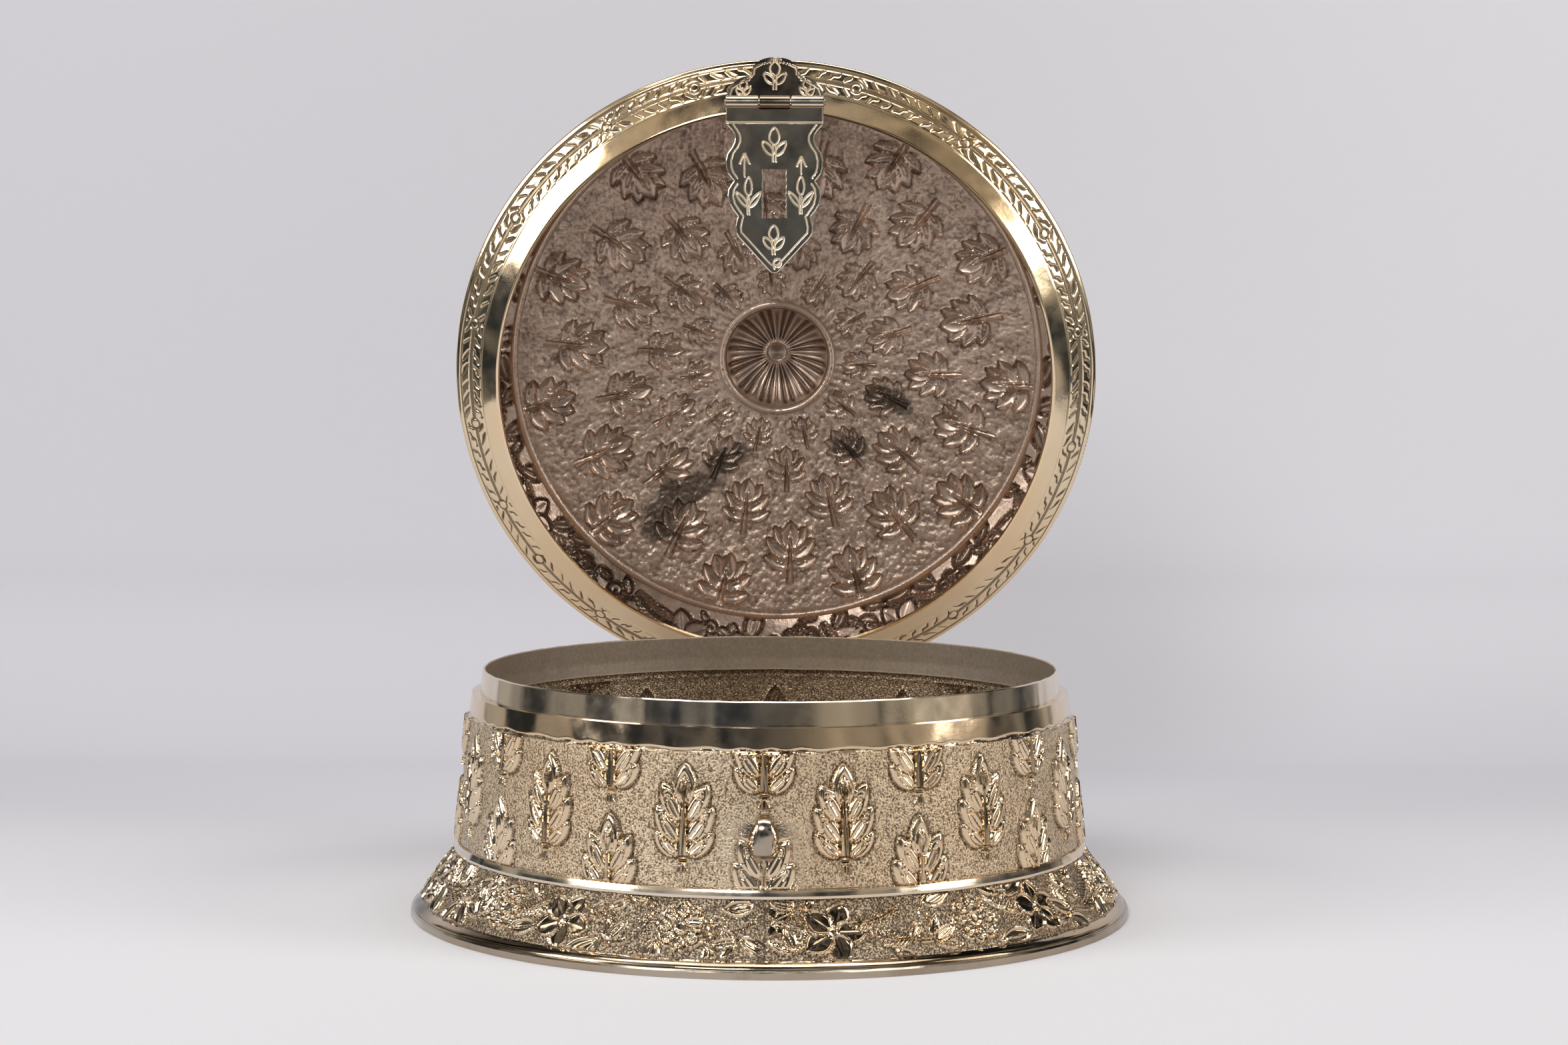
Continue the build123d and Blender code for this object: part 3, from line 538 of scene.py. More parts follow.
angles = stepsRound(wall["columns"])
outer = divided([wall["seam"], wall["field"], wall["ledge"]], wall["step"])
outerNormals = outward(outer)
push, height, ground, colour = wallRelief(angles, outer[:, 1])
inner = (outer - outerNormals * wall["sheet"])[::-2]
ledgeRows = divided([wall["ledge"], wall["lip"], (wall["lip"][0], wall["lip"][1] - wall["sheet"])], 0.8)[1:]
flat = np.zeros((len(ledgeRows), len(angles)))
profile = np.concatenate([outer, ledgeRows, inner])
normals = np.concatenate([outerNormals, np.zeros((len(ledgeRows), 2)), outerNormals[::-2]])
points = turned(profile, angles, np.concatenate([push, flat, 0.92 * push[::-2]]), normals)
addPiece("bodyWall", points, "root", "body_wall", "matted_silver", "chased",
         relief=np.concatenate([colour, flat + 1, 0.32 - 0.2 * np.maximum(height[::-2], 0)]),
         ground=np.concatenate([ground, flat, 0.75 + 0 * ground[::-2]]))
print("wall made")

# Foot: a frieze of flowers and leaves on a dark ground, and a plain lip
foot = {
    "edge": 109.1, "lip": (106.7, 4.6), "lipStart": 2.4, "flareEnd": (98.2, 16.1), "seam": (95.6, 21.3),
    "neckPull": (96.1, 18.8), "sheet": 1.0, "rise": 1.15, "friezeRadius": 102.5, "plainTop": 1.4,
    "seamAngle": 0.004, "punchMark": 0.9, "hammerMark": 2.4, "columns": 2000,
}
lip = bent((foot["edge"], foot["lipStart"]), (foot["edge"], foot["lipStart"] + 1.2), foot["lip"], 6)
flare = divided([foot["lip"], foot["flareEnd"]], 0.3)[1:]
neck = bent(foot["flareEnd"], foot["neckPull"], foot["seam"], 18)[1:]
outer = np.concatenate([[(foot["edge"], 0)], lip, flare, neck])
angles = stepsRound(foot["columns"])
around, up = alongRound(angles, foot["friezeRadius"]), pathLength(outer)
up = up - up[len(lip)]
friezeHeight = up[-1] - foot["plainTop"]
flowers = floralRelief(angles, up, foot["friezeRadius"], friezeHeight)
fromFront = ((angles + 3) % fullTurn - 3) * foot["friezeRadius"]
flowers = flowers * (1 - 0.8 * ridge(fromFront, 2.0))
inFrieze = (smooth(0, 0.5, up) * smooth(friezeHeight + 0.3, friezeHeight - 0.2, up))[:, None]
ground = inFrieze * (1 - smooth(0.05, 0.3, flowers))
punched = lattice(around, up[:, None], foot["punchMark"], 12) * ground
worked = lattice(around, up[:, None], foot["hammerMark"], 16) * inFrieze
seam = ridge((angles - foot["seamAngle"]) * foot["friezeRadius"], 0.3) * inFrieze
push = foot["rise"] * flowers - 0.15 * seam + 0.1 * punched + 0.14 * worked
push = push + 0.07 * wandering(angles, up, 60, 14)
inner = (outer - outward(outer) * foot["sheet"])[::-2]
inner[-1, 1] = 0
points = turned(np.concatenate([outer, inner]), angles, folded(push, 0.9 * push, 1, 2),
                folded(outward(outer), outward(outer), 1, 2))
# Painted highlight: the frieze is paler where its punch marks stand up
shade = 0.3 + 0.7 * smooth(0.4, 0.8, flowers) - 0.05 * ground + 0.15 * punched
# The lip's dark, streaky tone is partly tarnish and partly a painted dark reflection
lipTarnishAndReflection = 0.3 + 0.25 * wandering(angles, up, 12, 30)
shade = np.where(inFrieze > 0.5, shade, lipTarnishAndReflection) - 0.3 * seam
addPiece("footSkirt", points, "root", "foot_skirt", "matted_silver", "foot",
         relief=folded(shade, 0.5 - 0.4 * flowers, 1, 2), ground=folded(ground, 0.5 * ground, 1, 2))


# Plain turned pieces from the corners of a profile, with the slight unevenness of hand work
def plainRing(name, corners, body, cadNode, look, columns=720, step=0.5, uneven=0.05, ticks=None,
              dullInside=0.0):
    profile = divided([*corners, corners[0]], step)[:-1]
    angles = stepsRound(columns)
    way = np.roll(profile, -1, 0) - np.roll(profile, 1, 0)
    way /= np.linalg.norm(way, axis=1)[:, None]
    normals = np.stack([way[:, 1], -way[:, 0]], 1)
    push = uneven * wandering(angles, 0, 70, 12)
    if ticks is not None:
        push = push + ticks(angles)
    dull = dullInside * np.clip(-normals[:, :1], 0, 1) + 0 * angles
    addPiece(name, turned(profile, angles, push, normals), body, cadNode, "plain_silver", look,
             relief=1 - 0.7 * dull, ground=dull)


def wireSection(centre, radius, count=16):
    turn = np.arange(count) * fullTurn / count
    return [(centre[0] + radius * math.cos(a), centre[1] + radius * math.sin(a)) for a in turn]


# Corners of the foot's rim, of the band over the seam and of the collar, as radius and height
rim = [(109.1, 0), (110.0, 0), (110.0, 1.9), (109.5, 2.4), (109.1, 2.4)]
plainRing("footRim", rim, "root", "foot_rim", "dull")
band = [(96.0, 19.9), (96.8, 20.1), (96.975, 20.9), (96.45, 21.8), (96.1, 22.5), (95.5, 22.7)]
plainRing("waistBand", band, "root", "waist_band", "plain", step=0.35, uneven=0.07)
collar = [(88.7, 63.5), (88.7, 67.5), (88.0, 74.3), (87.7, 74.6), (87.4, 74.6), (87.1, 74.3), (87.8, 67.5),
          (87.8, 63.5)]
plainRing("rimCollar", collar, "root", "rim_collar", "plain", columns=900, step=0.7, uneven=0.06,
          dullInside=1.0)
print("foot and plain bands made")

# Lid, measured closed. The strip's underside faces the viewer when the lid is open
strip = {
    "inner": (91.0, 67.8), "width": 17.6, "slope": math.radians(35.3), "sheet": 1.0, "bow": 0.25,
    "columns": 2400, "step": 0.34, "meanRadius": 98.5, "depth": 0.3, "ringRadius": 1.7,
    # Lines along the strip, the rows of ticks between them with their side, and the degrees of the rings
    "lines": (16.1, 12.0, 11.3), "faintLine": 7.2, "rowsOfTicks": ((12.5, 15.7, 1), (7.7, 10.9, -1)),
    "tickSpacing": 4.584, "tickLean": 1.1, "tickHalf": 0.56,
    "rings": [15, 37.6, 60.3, 80.3, 102.7, 122.8, 143.6, 164, -162, -144, -128, -115.2, -98.4, -79, -57.2,
              -32.7, -15],
}


def onStrip(along, below=0.0):
    slope = strip["slope"]
    return (strip["inner"][0] + along * math.cos(slope) + below * math.sin(slope),
            strip["inner"][1] + along * math.sin(slope) - below * math.cos(slope))


def stripEngraving(angles, along):
    angle, y = np.meshgrid(angles, along)
    cut = np.zeros(angle.shape)
    for line in strip["lines"]:
        cut = np.maximum(cut, ridge(y - line, 0.33))
    cut = np.maximum(cut, 0.5 * ridge(y - strip["faintLine"], 0.24))
    rings = np.sort(np.radians(np.array(strip["rings"])) % fullTurn)
    flip = np.where(np.searchsorted(rings, angle) % 2 == 0, 1.0, -1.0)
    wobble = 0.10 * np.sin(angle * 83) + 0.08 * np.sin(angle * 171 + y)
    for low, high, side in strip["rowsOfTicks"]:
        x = angle * strip["meanRadius"] - flip * side * strip["tickLean"] * (y - (low + high) / 2)
        beat = x / strip["tickSpacing"] + wobble
        away = np.abs(beat - np.round(beat)) * strip["tickSpacing"] * 0.8
        taper = smooth(low - 0.1, low + 0.8, y) * smooth(high + 0.1, high - 0.8, y)
        half = strip["tickHalf"] * (0.5 + 0.5 * taper)
        cut = np.maximum(cut, ridge(away, half) * (taper > 0.02) * taper ** 0.3)
    away, _ = nearest(angle, rings)
    fromRing = np.hypot(away * strip["meanRadius"], y - (strip["lines"][1] + strip["lines"][2]) / 2)
    cut = cut * smooth(strip["ringRadius"] - 0.2, strip["ringRadius"] + 0.1, fromRing)
    return np.maximum(cut, ridge(fromRing - strip["ringRadius"], 0.36))


angles = stepsRound(strip["columns"])
face = divided([onStrip(0), onStrip(strip["width"])], strip["step"])
along = pathLength(face)
cut = stripEngraving(angles, along)
bow = strip["bow"] * np.sin(along / strip["width"] * math.pi)[:, None]
push = -strip["depth"] * cut + bow + 0.05 * wandering(angles, along, 50, 12)
push = push - 0.25 * ridge(along, 0.3)[:, None]
back = divided([onStrip(strip["width"], -strip["sheet"]), onStrip(0, -strip["sheet"])], 3.0)
profile = np.concatenate([face, back])
normals = np.concatenate([outward(face), np.zeros((len(back), 2))])
flat = np.zeros((len(back), len(angles)))
points = turned(profile, angles, np.concatenate([push, flat]), normals)
cut = np.concatenate([cut, flat])
addPiece("lidSeatStrip", points, "lid", "lid_seat_strip", "gilt_strip", "gilt",
         relief=1 - cut, ground=0.7 * cut)

wire = {"radius": 0.9, "bead": (88.2, 94.1), "beadRadius": 1.5, "bossRing": (18.7, 105.7),
        "bossRingRadius": 1.3}
wireCentre = onStrip(strip["width"], -wire["radius"])


def milled(angles):
    degrees = np.degrees(angles)
    return -0.14 * (0.5 + 0.5 * np.cos(angles * 500)) * smooth(98, 104, degrees) * smooth(152, 146, degrees)


plainRing("lidEdgeWire", wireSection(wireCentre, wire["radius"], 12), "lid", "lid_edge_wire", "gilt",
          columns=2000, step=0.9, uneven=0.03, ticks=milled)
plainRing("lidBead", wireSection(wire["bead"], wire["beadRadius"]), "lid", "lid_bead", "hollow",
          step=2, dullInside=1.0)
plainRing("lidBossRing", wireSection(wire["bossRing"], wire["bossRingRadius"]), "lid", "lid_boss_ring",
          "hollow", columns=360, step=2, uneven=0.03)

# Shoulder between the edge wire and the bead, chased with flowers that show in reverse inside
shoulder = {"crown": 0.9, "sheet": 1.0, "rise": 1.5, "meanRadius": 97.0, "run": (0.03, 0.94), "shift": 8.0,
            "stainAngle": math.radians(217), "stainHalf": 0.2, "columns": 1200, "rows": 54}
start, end = np.array(wireCentre), np.array(wire["bead"])
run = end - start
length = np.linalg.norm(run)
side = np.array([run[1], -run[0]]) / length
t = np.linspace(*shoulder["run"], shoulder["rows"])[:, None]
centreLine = start + run * t + side * shoulder["crown"] * 4 * t * (1 - t)
angles = stepsRound(shoulder["columns"])
up = (t[:, 0] - t[0, 0]) * length
flowers = floralRelief(angles, up, shoulder["meanRadius"], up[-1], shoulder["shift"])
push = shoulder["rise"] * flowers + 0.06 * wandering(angles, up, 50, 14)
ground = 1 - smooth(0.05, 0.3, flowers)
stain = ridge(nearest(angles, [shoulder["stainAngle"]])[0], shoulder["stainHalf"])
around = alongRound(angles, shoulder["meanRadius"])
stain = stain * (0.7 + 0.3 * lattice(around, up[:, None], 3.0, 17))
addPiece("lidShoulder", skin(centreLine, angles, push, (shoulder["sheet"] / 2, -shoulder["sheet"] / 2)),
         "lid", "lid_shoulder", "lid_silver", "hollow", relief=folded(flowers, 0.44 - 0.38 * flowers),
         ground=folded(ground, 0.3 * ground), smear=folded(0 * stain, stain))
print("strip and shoulder made")

# Crown: rings of leaves whose tips point to the boss, seen from their hollow side
crown = {
    "edge": 88.2, "ring": 18.7, "rise": 11.6, "base": 94.1, "sheet": 1.0, "leafRise": 1.3, "columns": 1440,
    "step": 0.5,
    # Rings of leaves: radius of their middles, size, degrees from the front
    "rings": [(79.0, 1.0, 30), (67.0, 1.0, 12), (52.5, 0.9, 29), (39.0, 0.75, 12), (27.5, 0.55, 29)],
    "leaves": 11,
    # Dark smears: across and up in the open lid, half size across and up, lean
    "smears": [(-30, -46, 14, 5, 0.35), (-17, -36, 9, 5, 0.6), (-41, -57, 7, 6, 0), (25, -31, 8, 4, 0),
               (37, -14, 8, 5, -0.3)],
}
crownRun = (crown["edge"] ** 2 - crown["ring"] ** 2 - crown["rise"] ** 2) / (2 * crown["rise"])
crownBall = math.hypot(crown["edge"], crownRun)
crownMiddle = crown["base"] - crownRun


def crownRelief(angles, radii):
    angle, radius = np.meshgrid(angles, radii)
    height = np.zeros(angle.shape)
    count = crown["leaves"]
    for middle, size, turn in crown["rings"]:
        centres = np.arange(count) * fullTurn / count + math.radians(turn)
        centres = centres + random.uniform(-1, 1, count) * 0.02
        shift, lean = random.uniform(-1, 1, count) * 0.5, random.uniform(-1, 1, count) * 0.12
        away, pick = nearest(angle, centres)
        x, y = leaned(away * radius / size, (middle + shift[pick] - radius) / size, lean[pick])
        height = laid(height, leafRelief(x, y, "lid") * size ** 0.5)
    return height


angles = stepsRound(crown["columns"])
edge, ring = crown["edge"], crown["ring"]
radii = np.linspace(edge - 0.6, ring + 0.4, math.ceil((edge - ring) / crown["step"]))
line = np.stack([radii, crownMiddle + np.sqrt(crownBall ** 2 - radii ** 2)], 1)
leaves = crownRelief(angles, radii)
fade = (smooth(edge - 1, edge - 3, radii) * smooth(ring + 1, ring + 3, radii))[:, None]
leaves = leaves * fade
dents = wandering(angles, radii, 60, 11, 24) * fade
x, y = radii[:, None] * np.sin(angles), radii[:, None] * np.cos(angles)
ground = (1 - smooth(0.05, 0.3, leaves)) * fade
blobs = lattice(x, y, 1.35, 13) * 0.6 + lattice(x, y, 0.8, 14) * 0.4
ragged = 1 + 0.35 * lattice(x, y, 3.0, 15)
smear = np.zeros(x.shape)
for across, rise, halfAcross, halfRise, lean in crown["smears"]:
    u, v = leaned(x - across, y - rise, lean)
    smear = np.maximum(smear, smooth(1.15, 0.75, np.hypot(u / halfAcross, v / halfRise) * ragged))
push = crown["leafRise"] * leaves + 0.16 * dents + 0.42 * blobs * (0.15 + 0.85 * ground) * fade
points = skin(line, angles, push, (crown["sheet"] / 2, -crown["sheet"] / 2), outerStep=2)
# Painted shade: the punched ground is darker where its blobs sink away from the inside, so the bumps read
hollowShade = 0.58 - 0.1 * leaves + 1.4 * np.minimum(leaves, 0) - 0.32 * blobs * ground - 0.1 * dents
addPiece("lidCrown", points, "lid", "lid_top_plate", "lid_silver", "hollow",
         relief=folded(leaves, hollowShade, 2), ground=folded(ground, ground, 2),
         smear=folded(0 * smear, smear, 2))

# Boss: twelve fluted petals round an eye
boss = {"ring": 18.7, "base": 105.7, "height": 8.2, "petals": 12, "groove": 1.0, "flute": 0.3, "eye": 3.3,
        "eyeRise": 1.5, "sheet": 0.9, "columns": 480, "rows": 64}
bossBall = (boss["ring"] ** 2 + boss["height"] ** 2) / (2 * boss["height"])
radii = np.linspace(boss["ring"] - 1.0, 0.02, boss["rows"])
line = np.stack([radii, boss["base"] + boss["height"] - bossBall + np.sqrt(bossBall ** 2 - radii ** 2)], 1)
angles = stepsRound(boss["columns"])
share = radii[:, None] / boss["ring"]
beat = (angles * boss["petals"] / fullTurn) % 1
petalRound = dome((2 * beat - 1) ** 2)
flutes = np.cos(beat * 3 * fullTurn)
petalReach = smooth(0.16, 0.32, share) * smooth(0.90 + 0.06 * petalRound, 0.80 + 0.06 * petalRound, share)
push = (boss["groove"] * petalRound - 0.3 + boss["flute"] * flutes) * petalReach
fromEye = radii[:, None] - boss["eye"]
push = push + boss["eyeRise"] * dome((radii[:, None] / boss["eye"]) ** 2)
push = push - 0.5 * ridge(fromEye - 0.6, 0.5) + 0.5 * ridge(fromEye, 0.7)
hollowShade = np.clip(0.62 - (0.4 * petalRound + 0.3 * flutes) * petalReach, 0, 1)
hollowShade = hollowShade * (0.45 + 0.55 * smooth(-1.2, 0, fromEye))
relief = folded(1 - hollowShade, hollowShade)
addPiece("lidBoss", skin(line, angles, push, (0, -boss["sheet"])), "lid", "lid_boss", "lid_silver", "hollow",
         relief=relief, ground=0 * relief)
print("crown and boss made")


# Barrels of the hinges, turned about a line across the box
def barrel(y, z, start, end, radius, columns=40, bevel=0.25):
    profile = divided([(0.01, start), (radius - bevel, start), (radius, start + bevel), (radius, end - bevel),
                       (radius - bevel, end), (0.01, end)], 0.6)
    turn = stepsRound(columns)
    x = profile[:, 1:] + 0 * turn
    points = np.stack([x, y - profile[:, :1] * np.cos(turn), z - profile[:, :1] * np.sin(turn)], -1)
    return points.reshape(-1, 3), gridFaces(len(profile), columns)


# Hasp plate: half widths down from the pin, an engraved face and a slot
hasp = {
    "outline": [(0, 15.55), (6.0, 15.55), (7.2, 15.3), (8.6, 13.9), (10.2, 12.9), (11.4, 12.7), (12.6, 12.85),
                (14.2, 13.6), (16.2, 15.0), (18.5, 15.6), (20.6, 15.5), (22.6, 14.9), (24.0, 13.8),
                (24.9, 13.0), (25.8, 13.6), (27.6, 14.7), (29.8, 15.0), (32.2, 14.4), (34.4, 13.1),
                (36.2, 11.7), (37.6, 12.1), (39.6, 12.5), (41.4, 12.3), (43.0, 11.4), (46.4, 8.2),
                (50.0, 4.9), (52.8, 2.4), (54.0, 1.2), (54.5, 0.15)],
    "top": 1.2, "tip": 54.5, "waist": 24.9, "line": 6.4, "border": 1.8,
    "thick": 1.0, "set": 0.85, "slotTop": 21.2, "slotLow": 36.8, "slotHalf": 3.55, "step": 0.2, "depth": 0.22,
    "barrel": 2.2, "barrelHalf": 15.7, "knuckleHalf": 4.9, "knuckleGap": 0.3,
    # Tip across and down from the pin, length, size
    "sprigs": [(-0.1, 7.9, 11.0, 1.0), (-8.3, 23.6, 12.0, 0.72), (8.4, 23.4, 12.0, 0.72),
               (-0.2, 39.0, 9.5, 0.92)],
    "arrows": [(-9.6, 16.0, 7.6), (8.5, 17.0, 5.6)],
    "ring": (1.0, 51.0, 1.2),
}


def sprigCut(x, down, tip, length, size):
    # A pointed leaf over two side leaves on a double stem, all as cut outlines
    across, up = (x - tip[0]) / size, (tip[1] + length - down) / size
    tall = length / size
    cut = np.zeros(x.shape)
    parts = [((0, tall * 0.5), 0, tall * 0.5, 1.7), ((0.4, tall * 0.2), 38, tall * 0.5, 1.2)]
    for base, lean, long, half in parts:
        inside, _, _ = lobe(across if lean == 0 else np.abs(across), up, base, lean, long, half)
        cut = np.maximum(cut, ridge(inside * size - 0.1, 0.24))
    stem = ridge(np.abs(across) - 0.45, 0.22) * (up > 0) * (up < tall * 0.5)
    return np.maximum(cut, stem)


def arrowCut(x, down, tip, length):
    across, below = x - tip[0], down - tip[1]
    head = ridge(np.abs(np.abs(across) - below * 0.45), 0.28) * (below > 0) * (below < 3.4)
    return np.maximum(head, ridge(across, 0.2) * (below > 0) * (below < length))


def widthsNear(outline, place, shifts):
    # Half widths a little to either side of a place, from which the distance to the edge is read
    places, halves = np.array(outline).T
    return [np.interp(place + shift, places, halves) + abs(shift) * 0.7 for shift in shifts]


def halfWidth(down):
    return widthsNear(hasp["outline"], down, [0])[0]


def haspCut(x, down):
    cut = 0.9 * ridge(down - hasp["line"], 0.2)
    inside = np.minimum.reduce(widthsNear(hasp["outline"], down, (-2.4, -1.2, 0, 1.2, 2.4))) - np.abs(x)
    bordered = (down > 7.0) * (np.abs(down - hasp["waist"]) > 0.8)
    cut = np.maximum(cut, 0.85 * ridge(inside - hasp["border"], 0.24) * bordered)
    for tipX, tipDown, length, size in hasp["sprigs"]:
        cut = np.maximum(cut, sprigCut(x, down, (tipX, tipDown), length, size))
    for tipX, tipDown, length in hasp["arrows"]:
        cut = np.maximum(cut, arrowCut(x, down, (tipX, tipDown), length))
    ringX, ringDown, ringRadius = hasp["ring"]
    return np.maximum(cut, ridge(np.hypot(x - ringX, down - ringDown) - ringRadius, 0.25))


def plateBlock(downs, left, right, columns):
    # A slab between two edges, with an engraved, slightly cushioned front
    t = np.linspace(0, 1, columns)[None, :]
    x = left[:, None] * (1 - t) + right[:, None] * t
    down = downs[:, None] + 0 * t
    cut = haspCut(x, down)
    fromSide = np.minimum(t, 1 - t) * (right - left)[:, None]
    drop = 0.22 * ridge(np.minimum(fromSide, hasp["tip"] - down), 0.28)
    front = haspY - hasp["set"] - hasp["thick"] / 2 + hasp["depth"] * cut + drop
    front = front + 0.06 * np.sin(x * 0.45) * np.sin(down * 0.35)
    back = haspY - hasp["set"] + hasp["thick"] / 2 + 0 * x
    level = haspZ - down
    # The front's columns, then the back's on the way back
    sides = ((x, x), (front, back), (level, level))
    points = np.stack([np.concatenate([ahead, behind[:, ::-1]], 1) for ahead, behind in sides], -1)
    faces = gridFaces(len(downs), 2 * columns)[:, ::-1]
    caps = []
    for row in (0, len(downs) - 1):
        start = row * 2 * columns
        near = start + np.arange(columns - 1)
        far = start + 2 * columns - 1 - np.arange(columns - 1)
        cap = np.stack([near, near + 1, far - 1, far], 1)
        caps.append(cap if row == 0 else cap[:, ::-1])
    relief = 1 - np.concatenate([cut, 0 * cut], 1)
    return points.reshape(-1, 3), np.concatenate([faces, *caps]), relief.ravel()


def spaced(low, high):
    return np.linspace(low, high, math.ceil((high - low) / hasp["step"]) + 1)


top, middle = spaced(hasp["top"], hasp["slotTop"]), spaced(hasp["slotTop"], hasp["slotLow"])
low = spaced(hasp["slotLow"], hasp["tip"])
slotEdge = hasp["slotHalf"] + 0.10 * np.sin(middle * 2.1) * np.sin(middle * 0.9)
blocks = [plateBlock(top, -halfWidth(top), halfWidth(top), 150),
          plateBlock(middle, -halfWidth(middle), -slotEdge, 56),
          plateBlock(middle, slotEdge, halfWidth(middle), 56),
          plateBlock(low, -halfWidth(low), halfWidth(low), 150)]
knuckle = hasp["knuckleHalf"] + hasp["knuckleGap"]
for start, end in ((-hasp["barrelHalf"], -knuckle), (knuckle, hasp["barrelHalf"])):
    points, faces = barrel(haspY, haspZ, start, end, hasp["barrel"])
    blocks.append((points, faces, np.ones(len(points))))
points, faces = joined([block[:2] for block in blocks])
relief = np.concatenate([block[2] for block in blocks])
# The middle of the plate's top is cut away for the fixed knuckle
centres = points[faces].mean(1)
cutLevel = haspZ - hasp["barrel"] - hasp["knuckleGap"]
underKnuckle = (np.abs(centres[:, 0]) < knuckle) & (centres[:, 2] > cutLevel)
addPiece("haspPlate", points, "hasp", "hasp_plate", "hasp_silver", "hasp", faces[~underKnuckle],
         relief=relief, ground=1 - relief)

# Fixed leaf of the hasp, three-lobed and bent round the strip
leafPlate = {
    "outline": [(3.4, 15.5), (6.5, 15.4), (9.0, 14.4), (10.6, 13.0), (11.6, 11.4), (12.2, 9.6), (12.6, 7.8),
                (13.8, 7.8), (15.4, 7.2), (16.9, 5.9), (17.9, 3.9), (18.4, 1.8), (18.6, 0.2)],
    "low": 3.4, "high": 18.6, "thick": 0.9, "rows": 80, "columns": 130,
    "sprigs": [(-0.1, 17.0, 10.0, 1.0), (-10.2, 11.0, 6.5, 0.75), (10.2, 11.0, 6.5, 0.75)],
    "neck": (1.2, 4.4), "neckRows": 10, "neckColumns": 12,
}
rows = np.linspace(leafPlate["low"], leafPlate["high"], leafPlate["rows"])[:, None]
x = widthsNear(leafPlate["outline"], rows, [0])[0] * np.linspace(-1, 1, leafPlate["columns"])
up = rows + 0 * x
cut = np.zeros(x.shape)
for tipX, tipUp, length, size in leafPlate["sprigs"]:
    cut = np.maximum(cut, sprigCut(x, -up, (tipX, -tipUp), length, size))
widths = widthsNear(leafPlate["outline"], up, (-2, -1, 0, 1, 2))
edge = np.minimum(np.minimum.reduce(widths) - np.abs(x), leafPlate["high"] - up)
cut = np.maximum(cut, 0.8 * ridge(edge - 1.0, 0.22))


def onLeaf(x, along, below):
    x, radius, level = np.broadcast_arrays(x, *onStrip(along, below))
    return np.stack([x, -radius * np.cos(np.arcsin(x / radius)), level], -1)


front = onLeaf(x, up, leafPlate["thick"] + 0.25 - 0.2 * cut - 0.25 * ridge(edge, 0.3))
plate = np.concatenate([front, onLeaf(x, up, 0.05)[:, ::-1]], 1)
halfKnuckle = hasp["knuckleHalf"]
neckHalf = np.linspace(-halfKnuckle, halfKnuckle, leafPlate["neckColumns"])[None, :]
neckAlong = np.linspace(*leafPlate["neck"], leafPlate["neckRows"])[:, None]
neckFront = onLeaf(neckHalf, neckAlong, 1.9 - 0.24 * (neckAlong - leafPlate["neck"][0]))
neck = np.concatenate([neckFront, onLeaf(neckHalf, neckAlong, 0.3)[:, ::-1]], 1)
points, faces = joined([(plate, gridFaces(*plate.shape[:2])),
                        barrel(-hingeY, hingeZ, -halfKnuckle, halfKnuckle, hasp["barrel"]),
                        (neck, gridFaces(*neck.shape[:2]))])
cut = np.concatenate([cut, 0 * cut], 1).ravel()
cut = np.concatenate([cut, np.zeros(len(points) - len(cut))])
addPiece("haspLeaf", points, "lid", "hasp_fixed_leaf", "hasp_silver", "dull", faces,
         relief=1 - cut, ground=cut)

# Staple: a strip bent to a round-cornered loop, wider at its foot
staple = {"level": 37.4, "height": 13.0, "reach": 7.5, "strip": 1.3, "roundness": 0.62, "wideTop": 4.2,
          "wideLow": 5.6, "root": 94.19, "sink": 0.9, "bevel": 0.3, "crown": 0.4, "slant": 0.25}
halfHeight = staple["height"] / 2 - staple["strip"] / 2
reach = staple["reach"] - staple["strip"] / 2
turn = np.linspace(-math.pi / 2, math.pi / 2, 60)[::-1]
loop = [(reach * math.cos(a) ** staple["roundness"],
         halfHeight * math.copysign(abs(math.sin(a)) ** staple["roundness"], a)) for a in turn]
centreLine = divided([(-staple["sink"], halfHeight), *loop[1:-1], (-staple["sink"], -halfHeight)], 0.5)
lineNormals = -outward(centreLine)
bevel, halfStrip = staple["bevel"], staple["strip"] / 2
wide = np.interp(centreLine[:, 1], [-halfHeight, halfHeight], [staple["wideLow"], staple["wideTop"]]) / 2
face = [(a, halfStrip - staple["crown"] * a ** 2) for a in np.linspace(0.94, -0.94, 11)]
sections = [(1, -halfStrip + bevel), (1, halfStrip - 0.5), *face,
            (-1, halfStrip - 0.5), (-1, -halfStrip + bevel), (-0.9, -halfStrip), (0.9, -halfStrip)]
slant = staple["slant"] * np.sin(centreLine[:, 1] * 0.5)
ring = []
for across, out in sections:
    reach, level = (centreLine + lineNormals * out).T
    ring.append(np.stack([across * wide + slant, -(staple["root"] + reach), staple["level"] + level], -1))
points = np.stack(ring, 1)
plain = np.ones(points.shape[:2])
addPiece("haspStaple", points, "root", "hasp_staple", "hasp_silver", "dull", gridFaces(*points.shape[:2]),
         relief=plain, ground=0 * plain)
print("hasp made")

# CAD nodes that stay as they are: the rear hinge, the hasp's pin and the floor
bareLook = {**plainLook, "recess": plainLook["bright"]}
for cadNode in ("rear_hinge_wall_leaf", "rear_hinge_lid_leaf", "rear_hinge_pin", "hasp_pin", "floor_plate"):
    materials = frame["nodes"][cadNode].data.materials
    materials.clear()
    materials.append(looks["hollow"] if cadNode == "floor_plate" else silver(cadNode + "Silver", bareLook))
print("carried nodes coated")

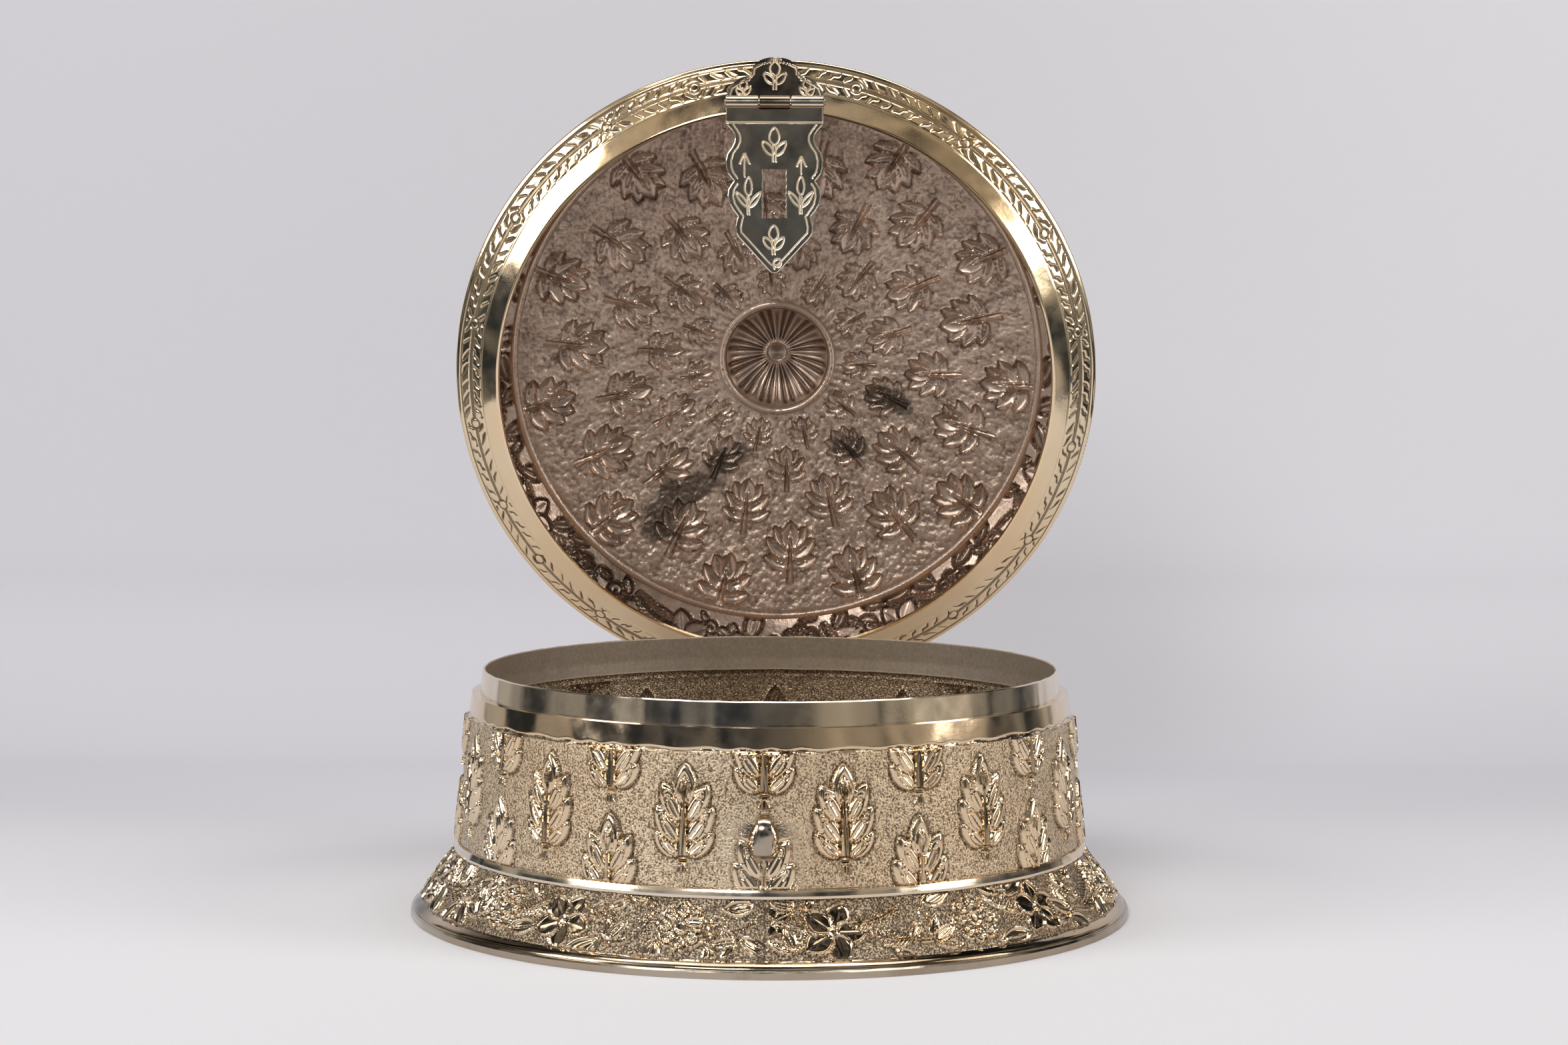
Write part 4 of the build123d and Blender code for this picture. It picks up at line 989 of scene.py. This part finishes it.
# Stage: a white table that sweeps up into a pale backdrop
stage = {"front": -450, "flatTo": 300, "sweep": 70, "top": 420, "halfWidth": 480,
         "near": -0.12, "far": 0.41, "floor": (0.77, 0.768, 0.80), "sweepShade": (0.53, 0.525, 0.56),
         "wall": (0.68, 0.675, 0.72), "wallPaintedLightRight": (0.78, 0.773, 0.82)}
curve = [(stage["flatTo"] + stage["sweep"] * math.sin(a), stage["sweep"] * (1 - math.cos(a)))
         for a in np.linspace(0, math.pi / 2, 24)]
stageLine = np.array([(stage["front"], 0), *curve, (stage["flatTo"] + stage["sweep"], stage["top"])])
sides = np.array([-stage["halfWidth"], stage["halfWidth"]])
points = np.stack(np.broadcast_arrays(sides, stageLine[:, :1], stageLine[:, 1:]), -1)
mesh = bpy.data.meshes.new("backdrop")
mesh.from_pydata((points.reshape(-1, 3) * metre).tolist(), [],
                 gridFaces(len(stageLine), 2, closedColumns=False).tolist())
mesh.shade_smooth()
backdrop = linked("backdrop", mesh)
paper = bpy.data.materials.new("paper")
paper.use_nodes = True
tree = paper.node_tree
paperShader = tree.nodes["Principled BSDF"]
# Painted shade on the paper: it darkens from the table back to the backdrop and more in the sweep, and
# painted light makes it paler to the right. Its back lets the view from behind through
spot = node(tree, "SeparateXYZ", {0: node(tree, "TexCoord").outputs["Object"]}).outputs
wallShade = mixed(tree, ramp(tree, spot["X"], -0.1, 0.45), stage["wall"], stage["wallPaintedLightRight"])
wallShade = mixed(tree, ramp(tree, spot["Z"], 0.0, 0.09), stage["sweepShade"], wallShade)
shade = mixed(tree, ramp(tree, spot["Y"], stage["near"], stage["far"]), stage["floor"], wallShade)
tree.links.new(shade, paperShader.inputs["Base Color"])
paperBack = node(tree, "BsdfTransparent").outputs[0]
seeThrough = node(tree, "MixShader", {0: node(tree, "NewGeometry").outputs["Backfacing"],
                                           1: paperShader.outputs[0], 2: paperBack})
tree.links.new(seeThrough.outputs[0], tree.nodes["Material Output"].inputs["Surface"])
paperShader.inputs["Roughness"].default_value = 0.9
mesh.materials.append(paper)

# World: a dark room with soft, paler patches, so that polished bands read dark with bright edges
world = bpy.data.worlds.new("studio")
bpy.context.scene.world = world
world.use_nodes = True
sky = world.node_tree
direction = node(sky, "TexCoord").outputs["Generated"]
room = ramp(sky, noise(sky, direction, 3.0, 2.0), 0.44, 0.6)
# It is darker straight ahead of the box, where the viewer stands
ahead = maths(sky, "MULTIPLY", node(sky, "SeparateXYZ", {0: direction}).outputs["Y"], -1.0)
room = maths(sky, "MULTIPLY", room, ramp(sky, ahead, 0.88, 0.99, 1.0, 0.24))
roomColour = mixed(sky, room, (0.022, 0.027, 0.034), (0.42, 0.395, 0.355))
sky.links.new(roomColour, sky.nodes["Background"].inputs["Color"])
sky.nodes["Background"].inputs["Strength"].default_value = 1.0


# Lamps: large soft boxes above, left and right, and a small one in front
def softBox(name, place, target, width, height, power, colour=(1, 1, 1)):
    lamp = bpy.data.lights.new(name, "AREA")
    lamp.shape, lamp.size, lamp.size_y, lamp.energy, lamp.color = "RECTANGLE", width, height, power, colour
    aim = np.array(target, float) - np.array(place, float)
    back = -aim / np.linalg.norm(aim)
    right = np.cross((0, 0, 1), back)
    right = right / np.linalg.norm(right)
    up = np.cross(back, right)
    rows = [[right[i], up[i], back[i], place[i]] for i in range(3)]
    linked(name, lamp).matrix_world = Matrix([*rows, [0, 0, 0, 1]])


softBox("topBox", (0.0, -0.05, 1.5), (0, 0.0, 0.0), 1.6, 0.6, 10.5)
softBox("leftBox", (-1.5, -0.7, 0.8), (0, 0, 0.12), 0.7, 1.0, 10.5, (1.0, 0.98, 0.95))
softBox("rightBox", (1.5, -0.5, 0.75), (0, 0, 0.12), 0.6, 1.0, 10, (1.0, 0.97, 0.93))
softBox("frontBox", (-0.5, -1.7, 1.15), (0, 0, 0.15), 0.6, 0.6, 11)

# Camera, as fitted to the photograph: heading to the left of +Y, looking down, and a slight roll
view = {"place": (0.01777, -1.01367, 0.1908), "heading": 0.7751, "down": 4.0588, "roll": 0.184, "lens": 76.2}
cameraData = bpy.data.cameras.new("camera")
cameraData.sensor_width, cameraData.lens = 36.0, view["lens"]
cameraData.clip_start, cameraData.clip_end = 0.05, 30
camera = linked("camera", cameraData)
turns = ((view["heading"], "Z"), (90 - view["down"], "X"), (view["roll"], "Z"))
turns = [Matrix.Rotation(math.radians(angle), 4, axis) for angle, axis in turns]
camera.matrix_world = Matrix.Translation(view["place"]) @ turns[0] @ turns[1] @ turns[2]
bpy.context.scene.camera = camera
bpy.context.scene.view_settings.view_transform = "Standard"

print("stage made")
